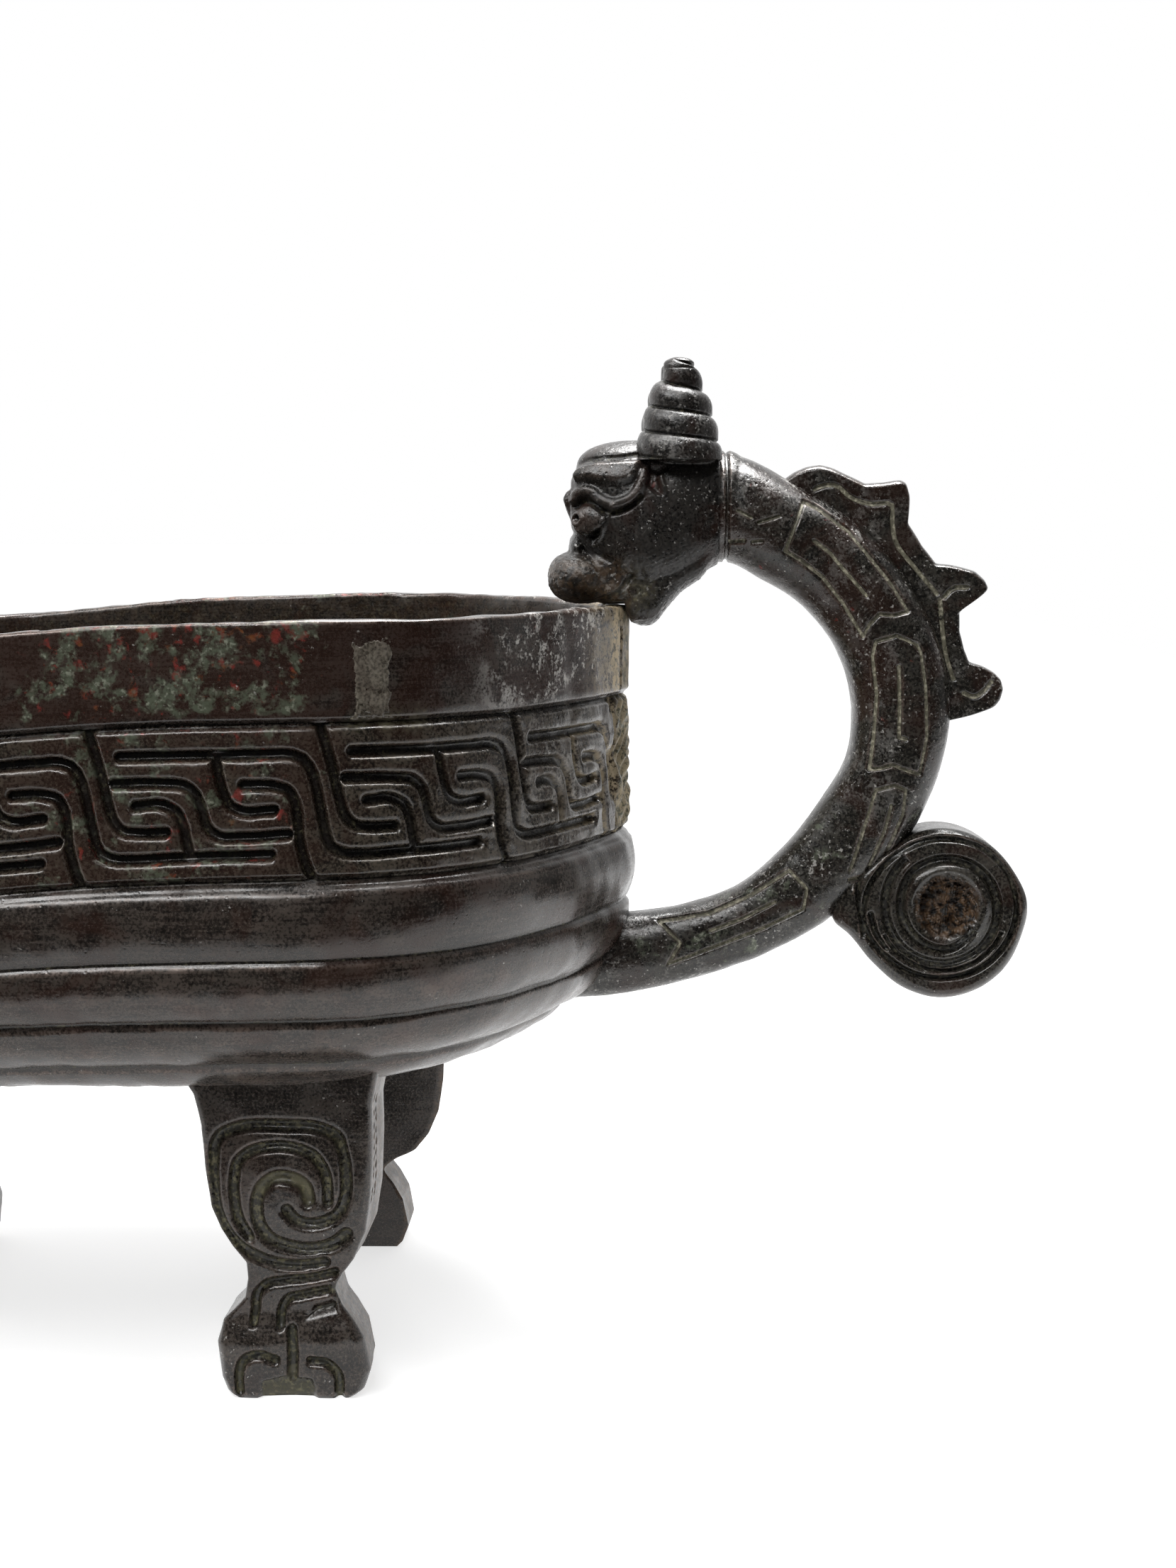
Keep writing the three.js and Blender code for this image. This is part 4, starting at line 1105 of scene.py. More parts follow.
    def build_wall(self) -> bpy.types.Object:
        """Makes the whole wall, with a seat where the frieze is set.

        Returns:
            The wall.
        """
        plan = self.plan(self.columns, self.crowding)
        rows = self.outer_rows() + self.rim_rows() + self.inner_rows()
        zones = self.zones(plan, rows)
        points = self.surface(plan, rows)
        normals = outward(points)
        normals[-1], normals[0] = (0.0, 0.0, 1.0), (0.0, 0.0, -1.0)
        depth = self.rim_at(plan.keel_x) - self.keel_at(plan.keel_x)
        fade = np.minimum(1.0, depth / (self.rim_height - self.base_height))
        chips = smooth((unevenness(points, 5.0, 7) - 0.6) / 0.5)
        chips = chips * smooth((1.8 - zones.drops) / 1.4) * zones.stained * (1.0 - zones.inside)
        sinks = np.array([row.sink for row in rows])[:, None] * fade
        sinks = sinks + 0.6 * zones.seam + 0.5 * chips
        points -= normals * sinks[:, :, None]
        seated = np.array([row.sink >= self.seat for row in rows])[:, None]
        calm = [1.0 if row.inward is None else min(1.0, row.inward / self.inner_floor_start)
                for row in rows]
        calm = smooth(np.array(calm))[:, None] * (1.0 - 0.7 * zones.inside)
        swell = broad_swell(points) + fine_swell(points) * (1.0 - zones.inside)
        points += normals * np.where(seated, 0.0, calm * swell)[:, :, None]
        rub = np.array([row.rub for row in rows])[:, None]
        return formed("bowl_wall", points, self.wall_marks(plan, zones, points, rub))

    def wall_marks(self, plan: Plan, zones: Zones, points: Array, rub: Array) -> dict[Marks, Array]:
        """Says where the wall is worn, stained and crusted, and where shade is painted on it.

        Args:
            plan: The stations round the rim.
            zones: The parts of the wall.
            points: The wall's places.
            rub: How brightly each row is rubbed.

        Returns:
            Values for the finish.
        """
        hollow, edge = wear(points, 4, 0.28)
        drops, inside, band, stained = zones.drops, zones.inside, zones.band, zones.stained
        rear = smooth((plan.x + 30.0) / 14.0)
        beyond = smooth((self.seam - plan.from_rear) / 1.5)
        strip = window(plan.from_rear, self.seam, 0.8, self.seam + 6.5, 3.0)
        scaly = (1.0 - beyond) * smooth((self.seam + 22.0 - plan.from_rear) / 18.0)
        border = (1.0 - inside) * np.exp(-(((drops - self.rim_band - 1.0) / 1.5) ** 2))
        crust = window(plan.x, *self.crusted)
        full = np.ones_like(hollow)
        soil = inside * (0.08 + 0.15 * smooth((drops - 20.0) / 25.0)) * full
        ruddy = stained * (0.75 + 0.25 * smooth((5.0 - drops) / 3.0))
        marks = {
            # Painted shade: the whole inside of the bowl and the seam groove are darkened
            Marks.HOLLOW: hollow + 0.45 * inside + 0.8 * zones.seam,
            Marks.EDGE: edge * (1.0 - 0.6 * inside) + rub * (0.25 + 0.75 * stained),
            Marks.GREEN: band * (0.75 * stained + beyond) + 0.35 * inside * full,
            Marks.RED: band * (ruddy + 0.4 * smooth((plan.x + 42.0) / 6.0)),
            # The rim band's rear end gets pale bloom that is partly a painted sheen
            Marks.BLOOM: band * (rear + strip),
            Marks.OLIVE: border * crust + band * (0.8 * beyond + 0.7 * strip),
            Marks.EARTH: soil + 0.15 * band * beyond,
            Marks.OCHRE: band * (0.8 * strip + 0.55 * scaly + 0.5 * beyond),
        }
        return {mark: np.clip(values, 0.0, 1.0) for mark, values in marks.items()}

    def underside(self, x: Array, y: Array) -> Array:
        """Finds the plain outer underside over places on the ground.

        Args:
            x: Places along the vessel.
            y: Places across it.

        Returns:
            Heights.
        """
        rear = self.plan(200)
        half = len(rear.x) // 2
        turned = rear.keel_x[: half + 1] >= -self.rear
        ray_x = rear.x[: half + 1][turned] + self.rear
        ray_y = -rear.y[: half + 1][turned]
        angle = np.arctan2(ray_y, ray_x)
        order = np.argsort(angle)
        length = np.interp(np.arctan2(np.abs(y), x + self.rear), angle[order],
                           np.hypot(ray_x, ray_y)[order])
        radial = np.hypot(x + self.rear, y) / length
        plain = np.abs(y) / self.half_width_at(x)
        keel_x = np.minimum(x, -self.rear)
        inward = np.clip(np.where(x > -self.rear, radial, plain), 0.0, 1.0)
        power = self.squareness_at(keel_x)
        share = (1.0 - inward**power) ** (1.0 / power)
        top = self.rim_at(x) - self.band_scale_at(keel_x) * self.tiles_top
        return blend(top, self.keel_at(keel_x), share)


@dataclass
class Frieze:
    """The meander of hooked bands between the two border grooves."""

    bowl: Bowl
    groove: float = 1.9
    depth: float = 1.4
    pillow: float = 0.3
    back: float = 2.3
    repeat: float = 37.2
    parting: float = 165.0
    drawn_height: float = 24.4
    starts: Line = ((14.5, 3.0), (51.5, 2.0), (89.7, 1.0), (127.4, 0.0))
    hook: Line = (
        (0.0, 24.2), (1.2, 20.4), (2.2, 16.6), (3.1, 12.6), (4.0, 9.8), (5.3, 8.5), (7.6, 8.1),
        (12.2, 8.0))
    long_wave: Line = (
        (5.1, 20.0), (10.1, 19.9), (20.3, 19.8), (29.0, 19.8), (32.6, 19.7), (34.5, 18.9),
        (35.9, 16.8), (36.6, 14.2), (37.2, 11.1), (37.8, 7.9), (38.7, 5.2), (40.6, 4.2),
        (44.2, 3.9), (50.0, 4.0), (66.2, 4.1))
    branch: Line = (
        (20.4, 19.4), (20.9, 16.5), (21.6, 13.8), (22.5, 12.0), (24.0, 11.2), (29.6, 11.1))
    inner_wave: Line = (
        (3.9, 15.9), (12.5, 15.6), (15.4, 15.2), (17.1, 13.8), (18.1, 11.1), (19.0, 8.3),
        (20.4, 7.3), (24.5, 7.0), (32.0, 7.3))
    spur: Line = ((7.5, 12.3), (12.0, 12.3), (13.9, 11.2), (14.9, 9.2), (15.4, 6.7), (16.0, 4.2))
    return_hook: Line = (
        (24.8, 15.1), (30.0, 14.8), (32.0, 14.1), (33.1, 12.2), (33.5, 9.5), (33.6, 7.1),
        (34.1, 4.4), (35.0, 1.6), (35.7, 0.0))
    seam: float = 11.5
    margin: float = 0.06
    stained: Span = (-112.0, 20.0, -40.0, 22.0)
    columns: int = 1200
    front_columns: int = 280
    rows: int = 96

    def pattern(self, from_rear: Array, up: Array) -> tuple[Array, Array]:
        """Draws the meander.

        Args:
            from_rear: Distance along the wall from the rear end.
            up: Height above the lower border groove, as drawn.

        Returns:
            How deep the meander is cut, and how rounded its bands are, each from 0 to 1.
        """
        arcs, counts = np.array(self.starts).T
        slope = (from_rear - arcs[-1]) / self.repeat
        phase = np.where(from_rear > arcs[-1], -slope, np.interp(from_rear, arcs, counts))
        along = self.repeat * (phase - np.floor(phase))
        nearest = np.full(np.broadcast(from_rear, up).shape, np.inf)
        for line in (self.hook, self.long_wave, self.branch, self.inner_wave, self.spur,
                     self.return_hook):
            drawn = curve_through(line, 3 * len(line))
            for shift in (-self.repeat, 0.0, self.repeat):
                nearest = np.minimum(nearest, distance_to(along, up, drawn + (shift, 0.0)))
        plain = smooth((from_rear - self.seam) / 1.2)
        joint = channel(np.abs(from_rear - self.seam), 1.6)
        cut = np.maximum(channel(nearest, self.groove, 0.2) * plain, 0.8 * joint)
        return cut, 1.0 - smooth((nearest - 0.4 * self.groove) / 1.0) * plain

    def build(self, stretch: Stretch) -> list[bpy.types.Object]:
        """Carves the strips of one stretch and sets them into the wall's seat.

        Args:
            stretch: Which length of the frieze.

        Returns:
            The near strip and the far one.
        """
        bowl, columns = self.bowl, self.columns
        whole = bowl.plan(columns)
        split = int(self.parting / whole.from_rear[0] * columns)
        counts = np.arange(split + 1)
        if stretch is Stretch.FRONT:
            counts = np.rint(np.linspace(split, columns, self.front_columns)).astype(int)
        top = bowl.rim_band + bowl.border / 2.0 + self.margin
        foot = bowl.tiles_top - bowl.border / 2.0 - self.margin
        drops = np.linspace(top, foot, self.rows + 1)
        up = (foot - drops)[:, None] * self.drawn_height / (foot - top)
        cut, round_off = self.pattern(whole.from_rear[columns + counts][None, :], up)
        edge_in = np.minimum(drops - top, foot - drops)[:, None]
        border = 1.0 - smooth(edge_in / (bowl.border / 2.0))
        pieces = []
        for side in Side:
            plan = whole.part(columns + side.value * counts)
            face = bowl.surface(plan, [Row(drop=float(d)) for d in drops])
            fade = np.minimum(1.0, bowl.band_scale_at(plan.keel_x))[None, :]
            rough_end = smooth((self.seam - plan.from_rear) / 2.0)[None, :]
            sink = np.maximum(cut * self.depth, border * bowl.border_depth) * fade
            swell = broad_swell(face) + 0.05 * unevenness(face, 9.0, 8)
            swell += rough_end * 0.5 * unevenness(face, 7.0, 21) - self.pillow * round_off
            swell += 0.025 * (1.0 - cut) * unevenness(face, 3.5, 9)
            points = backed(face, plan, swell - sink, self.back)
            marks = self.marks(plan, points, cut, border, drops - top)
            pieces.append(formed(f"frieze_{side.name.lower()}_{stretch.value}", points, marks))
        return pieces

    def marks(self, plan: Plan, points: Array, cut: Array, border: Array,
              below: Array) -> dict[Marks, Array]:
        """Says where a strip is worn, stained and crusted, and where shade is painted on it.

        Args:
            plan: The strip's stations.
            points: Its places, front and back.
            cut: How deep the meander is cut on its front.
            border: How deep its front lies in the border grooves.
            below: Distance of each row of the front below its top.

        Returns:
            Values for the finish.
        """
        front = slice(0, len(below))
        hollow, edge = wear(points, 4, 0.24)
        # Painted shade: the meander's cuts and the border grooves are darkened
        hollow[front] = np.maximum(hollow[front] * 0.5, np.maximum(cut, 0.8 * border))
        seen = np.ones_like(hollow)
        stained = window(plan.x, *self.stained)
        rough_end = smooth((self.seam - plan.from_rear) / 2.0)[None, :]
        olive = 0.7 * seen * rough_end
        crust = window(plan.x, *self.bowl.crusted)
        olive[front] += np.exp(-((below / 1.4) ** 2))[:, None] * crust[None, :]
        ochre = 0.6 * seen * rough_end
        near_end = smooth((48.0 - plan.from_rear) / 34.0)[None, :]
        ochre[front] += 2.8 * cut * (1.0 - cut) * near_end
        # Bloom toward the rear end is partly a painted sheen
        return {Marks.HOLLOW: hollow, Marks.EDGE: edge, Marks.OLIVE: olive, Marks.OCHRE: ochre,
                Marks.GREEN: seen * (0.5 * stained + rough_end), Marks.RED: 0.7 * seen * stained,
                Marks.BLOOM: 0.3 * seen * smooth((plan.x + 26.0) / 14.0)}


@dataclass
class Spacer:
    """The patch of older metal that shows in the rim band."""

    bowl: Bowl
    x: float = -43.2
    drop: float = 2.6
    width: float = 7.6
    height: float = 13.5
    proud: float = 0.1
    back: float = 1.2
    columns: int = 2000
    rows: int = 80
    girth: Line = ((-1.0, 1.0), (-0.6, 0.98), (-0.1, 0.82), (0.4, 0.86), (1.0, 0.94))

    def build(self) -> bpy.types.Object:
        """Makes a thin worn plate whose ragged edge goes under the skin of the wall.

        Returns:
            The plate.
        """
        plan = self.bowl.plan(self.columns)
        near = plan.y < 0.0
        middle = int(np.argmin(np.where(near, np.abs(plan.x - self.x), np.inf)))
        step = float(np.hypot(plan.x[1] - plan.x[0], plan.y[1] - plan.y[0]))
        reach = int(self.width / 2.0 / step)
        part = plan.part(slice(middle - reach, middle + reach + 1))
        drops = np.linspace(self.drop, self.drop + self.height, self.rows)
        face = self.bowl.surface(part, [Row(drop=float(d)) for d in drops])
        across = np.linspace(-1.0, 1.0, len(part.x))[None, :]
        down = np.linspace(-1.0, 1.0, len(drops))[:, None]
        girth = np.interp(down, *np.array(self.girth).T)
        out = np.maximum(np.abs(across) / girth, np.abs(down))
        ragged = 0.07 * unevenness(face, 3.4, 13) + 0.03 * unevenness(face, 1.1, 14)
        under = smooth((out + ragged - 0.84) / 0.22)
        swell = broad_swell(face) + fine_swell(face) + 0.05 * unevenness(face, 1.6, 12)
        points = backed(face, part, self.proud - 0.6 * under + swell, self.back)
        hollow, edge = wear(points, 3, 0.2)
        marks = {Marks.HOLLOW: 0.6 * hollow, Marks.EDGE: 0.5 * edge}
        return formed("rim_spacer_patch", points, marks)


# Legs


@dataclass
class Leg:
    """A flat leg with a whorl on its face, a narrow shin and a two-toed foot."""

    bowl: Bowl
    node: str
    centre_x: float
    spread: float
    side: Side
    facing: int = 1
    half_thickness: float = 6.5
    round_edge: float = 1.3
    flare: float = 1.3
    haunch: float = 0.0
    left: Line = (
        (0.0, -12.0), (1.2, -13.0), (3.4, -13.9), (9.7, -14.5), (13.6, -13.4), (15.6, -11.4),
        (17.6, -9.6), (21.0, -9.0), (24.0, -9.3), (27.0, -11.6), (30.0, -13.6), (34.0, -15.2),
        (41.0, -16.2), (48.5, -16.7), (54.0, -18.0), (58.0, -20.5), (70.0, -24.0))
    right: Line = (
        (0.0, 10.0), (1.2, 11.2), (4.6, 12.4), (10.2, 11.3), (13.6, 9.4), (16.0, 7.6), (19.3, 6.2),
        (22.0, 7.6), (24.6, 9.6), (29.5, 11.7), (36.0, 12.7), (44.7, 13.1), (52.0, 13.0),
        (57.0, 14.0), (70.0, 18.0))
    outer_loop: Line = (
        (-1.8, 33.8), (-0.6, 32.3), (1.8, 31.4), (4.9, 31.8), (7.2, 33.3), (8.3, 35.9),
        (8.5, 39.7), (7.9, 44.1), (7.0, 46.6), (4.5, 48.0), (-2.2, 48.7), (-10.8, 48.1),
        (-13.2, 47.0), (-14.2, 45.4), (-14.6, 42.2), (-14.5, 37.1), (-13.9, 33.3), (-12.6, 30.1),
        (-9.8, 26.9), (-5.7, 24.7), (-0.1, 23.6), (4.5, 24.2))
    second_loop: Line = (
        (5.3, 35.2), (5.3, 37.8), (4.7, 40.7), (3.2, 43.1), (0.2, 44.7), (-4.1, 45.1),
        (-8.5, 43.9), (-10.3, 42.2), (-10.9, 39.6), (-10.9, 35.2), (-10.3, 32.3), (-8.5, 28.9))
    heart: Line = (
        (2.0, 35.6), (1.3, 38.1), (-1.1, 39.5), (-4.2, 39.5), (-6.2, 37.7), (-7.1, 34.6),
        (-6.7, 31.3), (-4.9, 28.7), (-1.3, 27.2), (2.4, 26.7), (6.1, 27.6), (8.4, 29.3))
    shin_line: Line = (
        (6.3, 22.3), (2.3, 21.4), (-2.6, 20.8), (-5.8, 20.1), (-7.3, 18.5), (-7.7, 15.7),
        (-8.0, 13.4))
    shin_hook: Line = ((6.0, 19.3), (1.0, 18.3), (-2.1, 17.4), (-3.1, 15.5), (-3.3, 12.9))
    toe_split: Line = ((-1.3, 12.2), (-1.1, 8.4), (-1.2, 4.2))
    left_toe: Line = ((-4.1, 7.0), (-7.2, 8.0), (-9.6, 7.0), (-10.5, 4.5), (-10.4, 1.4))
    right_toe: Line = ((2.1, 6.9), (5.0, 6.5), (6.7, 4.6), (7.0, 0.4))
    arch: Line = ((-7.6, -1.0), (-7.4, 3.6), (-2.9, 4.6), (2.6, 4.2), (3.4, 2.0), (3.4, -1.0))
    ankle_hollow: Line = ((8.5, 18.6), (2.3, 16.9), (0.2, 13.4), (7.0, 14.8))
    heart_crust: int = 5
    pit_rows: tuple[float, ...] = (0.16, 0.34)
    pit_heights: tuple[float, float, float] = (35.0, 52.5, 1.9)
    face_columns: int = 92
    side_columns: int = 41
    back_columns: int = 24

    def relief(self, across: Array, up: Array) -> tuple[Array, Array]:
        """Carving of the outer face.

        Args:
            across: Distance from the leg's middle, toward the handle.
            up: Height above the ground.

        Returns:
            How far the face stands out, and how deep it is cut from 0 to 1.
        """
        cut = engraved(across, up, (
            (self.outer_loop, 2.5), (self.second_loop, 2.3), (self.heart, 2.8),
            (self.shin_line, 1.9), (self.shin_hook, 1.9), (self.toe_split, 2.2),
            (self.left_toe, 1.9), (self.right_toe, 1.9)), 4)
        arch = inside_of(across, up, self.arch, 1.4)
        hollow = inside_of(across, up, self.ankle_hollow, 2.2)
        foot = 1.0 - smooth((up - 9.4 - 0.05 * across) / 6.5)
        toes = 0.5 * np.exp(-((np.abs(across + 1.2) - 6.6) / 4.0) ** 2) * foot
        panel = smooth((up - 22.5) / 3.0)
        dome = 1.0 - np.clip(np.hypot(across + 2.0, 1.15 * (up - 37.0)) / 15.0, 0.0, 1.0) ** 2
        out = foot + 0.9 * toes - 0.5 * (1.0 - foot) * (1.0 - panel) + 0.9 * panel * dome
        deep = np.clip(np.maximum(cut, np.maximum(0.8 * arch, 0.9 * hollow)), 0.0, 1.0)
        return out - 1.35 * cut - 1.2 * arch - 1.7 * hollow, deep

    def pits(self, depth: Array, up: Array) -> Array:
        """Casting pits in rows down the leg's side.

        Args:
            depth: Share of the way from the outer face to the back.
            up: Height above the ground.

        Returns:
            How deep each place is pitted, from 0 to 1.
        """
        chance = np.random.default_rng(33)
        pitted = np.zeros(np.broadcast(depth, up).shape)
        for row in self.pit_rows:
            for height in np.arange(*self.pit_heights):
                aside, above = chance.normal(size=2)
                gap = np.hypot((depth - row - 0.025 * aside) * 2.0 * self.half_thickness,
                               up - height - 0.4 * above)
                pitted = np.maximum(pitted, channel(gap, chance.uniform(0.7, 1.5)))
        return pitted

    def build(self) -> bpy.types.Object:
        """Makes the whole leg, carved on its outer face.

        Returns:
            The leg.
        """
        heights = np.concatenate([np.linspace(0.0, 56.0, 150), np.linspace(56.6, 69.0, 14)])
        left = np.interp(heights, *np.array(self.left).T)[:, None]
        right = np.interp(heights, *np.array(self.right).T)[:, None]
        across = blend(left, right, np.linspace(0.0, 1.0, self.face_columns)[None, :])
        up = np.broadcast_to(heights[:, None], across.shape)
        front, cut = self.face(across, up, np.minimum(across - left, right - across))
        back = -self.half_thickness
        drop = np.linspace(0.0, 1.0, self.side_columns)[None, 1:]
        right_out = blend(front[:, -1:], back, drop)
        flare = self.flare * smooth((heights - 15.0) / 9.0)[:, None] - 0.4
        spread = flare + self.haunch * smooth((heights - 16.5) / 5.0)[:, None]
        pitted = self.pits(drop, heights[:, None])
        right_x = right + spread * smooth(drop) - 0.55 * pitted
        rear_share = np.linspace(0.0, 1.0, self.back_columns)[None, 1:]
        rear_x = blend(right + spread, left - flare, rear_share)
        rear_out = np.full_like(rear_x, back)
        left_out = blend(back, front[:, :1], drop)
        left_x = left - flare * (1.0 - smooth(drop))
        local_x = np.concatenate([across, right_x, rear_x, left_x], axis=1)
        out = np.concatenate([front, right_out, rear_out, left_out], axis=1)
        x = self.centre_x + self.facing * local_x
        y = self.side.value * (self.spread + out)
        z = np.minimum(heights[:, None], self.bowl.underside(x, y) + 0.9)
        points = np.stack([x, y, z], axis=2)
        points = points + 0.035 * unevenness(points, 8.0, 31)[:, :, None] * outward(points)
        points[0, :, 2] = 0.0
        points[:, -1] = points[:, 0]
        return formed(f"{self.node}_carved", points, self.marks(points, across, up, cut, pitted))

    def face(self, across: Array, up: Array, inset: Array) -> tuple[Array, Array]:
        """Shapes the outer face.

        Args:
            across: Distance from the leg's middle, toward the handle.
            up: Height above the ground.
            inset: Distance from the nearer edge of the face.

        Returns:
            How far the face lies from the leg's middle, and how deep it is cut from 0 to 1.
        """
        lost = np.clip(self.round_edge - inset, 0.0, self.round_edge)
        rounding = self.round_edge - np.sqrt(np.maximum(self.round_edge**2 - lost**2, 0.0))
        carved, cut = self.relief(across, up)
        shown = np.maximum(1.0 - smooth((up - 49.5) / 6.0), up < 30.0)
        front = self.half_thickness + carved * shown * smooth(inset / 1.6) - rounding
        return front - 0.8 * (1.0 - smooth(up / 0.9)), cut * shown

    def marks(self, points: Array, across: Array, up: Array, cut: Array,
              pitted: Array) -> dict[Marks, Array]:
        """Says where the leg is worn, soiled and crusted.

        Args:
            points: The leg's places.
            across: Distance from the leg's middle, on the outer face.
            up: Height above the ground, on the outer face.
            cut: How deep the outer face is cut.
            pitted: How deep the right side is pitted.

        Returns:
            Values for the finish.
        """
        hollow, edge = wear(points, 3, 0.24)
        face = slice(0, cut.shape[1])
        right_side = slice(face.stop, face.stop + pitted.shape[1])
        hollow[:, face] = np.maximum(0.5 * hollow[:, face], cut)
        hollow[:, right_side] = np.maximum(hollow[:, right_side], pitted)
        soil, crust = np.zeros_like(hollow), np.zeros_like(hollow)
        soil[:, right_side] = 0.35
        near_heart = engraved(across, up, ((self.heart[: self.heart_crust], 3.6),), 4)
        crust[:, face] = cut * np.maximum(0.9 * near_heart, 0.6 * (up < 6.0))
        height = points[:, :, 2]
        return {Marks.HOLLOW: hollow, Marks.EDGE: edge * (height < 58.0), Marks.EARTH: soil,
                Marks.GREEN: hollow * (height < 16.0), Marks.OLIVE: crust}


# Handle


@dataclass
class DragonBody:
    """The looped body of the dragon, from its neck round to the arm on the wall."""

    bowl: Bowl
    stations: Stations = (
        (12.5, 155.4, 9.0, 8.0), (15.0, 155.35, 9.6, 8.6), (16.0, 155.3, 10.7, 9.3),
        (18.0, 154.9, 10.2, 9.4), (21.0, 154.0, 9.7, 9.4), (25.0, 152.1, 9.3, 9.2),
        (29.4, 149.6, 9.3, 8.9), (36.3, 145.4, 9.3, 8.5), (44.4, 136.7, 9.3, 8.4),
        (49.3, 126.9, 9.3, 8.4), (51.0, 117.0, 9.3, 8.4), (49.3, 105.7, 8.8, 8.4),
        (43.4, 94.8, 8.8, 8.0), (33.2, 83.5, 8.0, 7.2), (23.5, 76.9, 7.1, 6.6),
        (11.7, 72.6, 7.1, 6.6), (-3.0, 69.9, 7.7, 6.6), (-12.0, 69.0, 7.7, 6.6),
        (-17.0, 68.6, 7.7, 6.6))
    neck_panel: Line = (
        (28.1, 147.1), (31.7, 156.4), (34.0, 155.4), (40.3, 150.8), (48.3, 141.0), (51.4, 136.0),
        (48.6, 135.3), (45.8, 135.5), (44.0, 133.6), (42.8, 131.3), (39.0, 137.4), (35.1, 142.3),
        (31.4, 145.2), (28.1, 147.1))
    neck_dashes: tuple[Line, ...] = (
        ((19.2, 154.7), (21.8, 153.4)), ((23.1, 152.5), (27.0, 153.7)),
        ((17.9, 148.8), (20.5, 149.0)), ((22.1, 148.8), (23.8, 149.0)))
    neck_stroke: Line = ((33.5, 149.1), (36.5, 146.9), (39.1, 143.8), (43.3, 139.0))
    back_panel: Line = (
        (44.6, 127.6), (45.2, 130.4), (49.1, 131.5), (53.0, 129.8), (53.8, 128.4), (54.8, 121.8),
        (55.2, 112.5), (53.9, 105.4), (51.4, 106.2), (48.6, 107.3), (46.4, 106.6), (44.3, 106.4),
        (45.0, 112.5), (45.5, 120.5), (44.6, 127.6))
    back_stroke: Line = ((49.6, 125.8), (49.8, 119.0), (49.8, 112.5), (51.1, 112.1))
    tail_root_top: Line = (
        (41.1, 87.0), (44.3, 97.8), (45.6, 102.5), (49.1, 103.4), (51.3, 102.5), (51.0, 97.8),
        (46.9, 87.0))
    tail_root_stroke: Line = ((48.6, 99.6), (47.6, 95.0), (44.4, 86.6))
    tail_root_bars: Line = ((41.1, 85.2), (46.5, 86.2))
    tail_root_bar: Line = ((42.1, 81.5), (46.5, 82.6))
    arm_panel: Line = (
        (29.6, 87.0), (33.0, 83.6), (32.4, 79.6), (25.3, 76.1), (15.9, 72.4), (6.9, 68.9),
        (9.1, 73.1), (5.1, 77.0), (14.5, 78.6), (22.5, 82.2), (29.6, 87.0))
    arm_stroke: Line = ((14.7, 75.4), (21.0, 77.8), (27.0, 81.0))
    collar: float = 17.4
    parting: float = 104.5
    bite: float = 1.8
    rings: int = 880
    sides: int = 200

    def build(self) -> list[bpy.types.Object]:
        """Sweeps the body and cuts its panels.

        Returns:
            The neck and the arm.
        """
        line = curve_through(self.stations, self.rings)
        ahead = np.gradient(line[:, :2], axis=0)
        ahead /= np.linalg.norm(ahead, axis=1, keepdims=True)
        angle = np.linspace(0.0, 2.0 * math.pi, self.sides + 1)[None, :]
        angle = angle - 0.22 * np.sin(2.0 * angle)
        power = blend(0.82, 1.0, smooth((line[:, 1:2] - 128.0) / 14.0))
        rise = squared(np.sin(angle), power)
        x = line[:, 0:1] - ahead[:, 1:2] * line[:, 2:3] * rise
        y = line[:, 3:4] * squared(np.cos(angle), power)
        z = line[:, 1:2] + ahead[:, 0:1] * line[:, 2:3] * rise
        points = np.stack([x, y, z], axis=2)
        normals = outward(points)
        dashes = [(dash, 0.8) for dash in self.neck_dashes]
        cut = engraved(x, z, (
            (self.neck_panel, 0.85), (self.neck_stroke, 0.95), (self.back_panel, 0.85),
            (self.back_stroke, 0.95), (self.tail_root_top, 0.85), (self.tail_root_stroke, 0.85),
            (self.tail_root_bars, 0.95), (self.tail_root_bar, 0.95), (self.arm_panel, 0.85),
            (self.arm_stroke, 0.85), *dashes), 0)
        cut *= smooth((np.abs(normals[:, :, 1]) - 0.25) / 0.3)
        joint = channel(np.abs(x - self.collar), 1.0) * (z > 140.0)
        swell = 0.05 * unevenness(points, 12.0, 41) + 0.015 * unevenness(points, 3.0, 42)
        points = points + normals * (swell - 0.6 * np.maximum(cut, joint))[:, :, None]
        points[:, -1] = points[:, 0]
        top = self.bowl.rim_height - self.bowl.tiles_top
        share = np.clip((top - points[:, :, 2]) / (top - self.bowl.base_height), 0.0, 1.0)
        metal = -self.bowl.rear * (1.0 - np.cbrt(1.0 - share**3)) - self.bite
        points[:, :, 0] = np.maximum(points[:, :, 0], metal)
        hollow, edge = wear(points, 6, 0.16)
        hollow = np.maximum(0.5 * hollow * (1.0 - joint), np.maximum(cut, 0.36 * joint))
        dust = np.exp(-(((np.abs(y) - 3.6) / 1.5) ** 2)) * (rise > 0.0)
        dust = dust * smooth((z - 112.0) / 6.0) * smooth((x - 26.0) / 4.0)
        marks = {Marks.HOLLOW: hollow, Marks.EDGE: np.clip(edge, 0.0, 1.0),
                 Marks.GREEN: 0.4 * smooth((108.0 - z) / 10.0),
                 Marks.RED: 0.35 * smooth((z - 108.0) / 10.0),
                 Marks.BLOOM: np.clip(0.1 + 0.2 * cut + 0.9 * dust, 0.0, 1.0)}
        half = int(np.argmin(np.abs(line[:, 1] - self.parting) + 9.0 * (line[:, 0] < 40.0)))
        pieces = []
        for name, part in (("handle_neck", slice(half + 1)), ("handle_arm", slice(half, None))):
            shares = {mark: values[part] for mark, values in marks.items()}
            pieces.append(formed(name, points[part], shares))
        return pieces


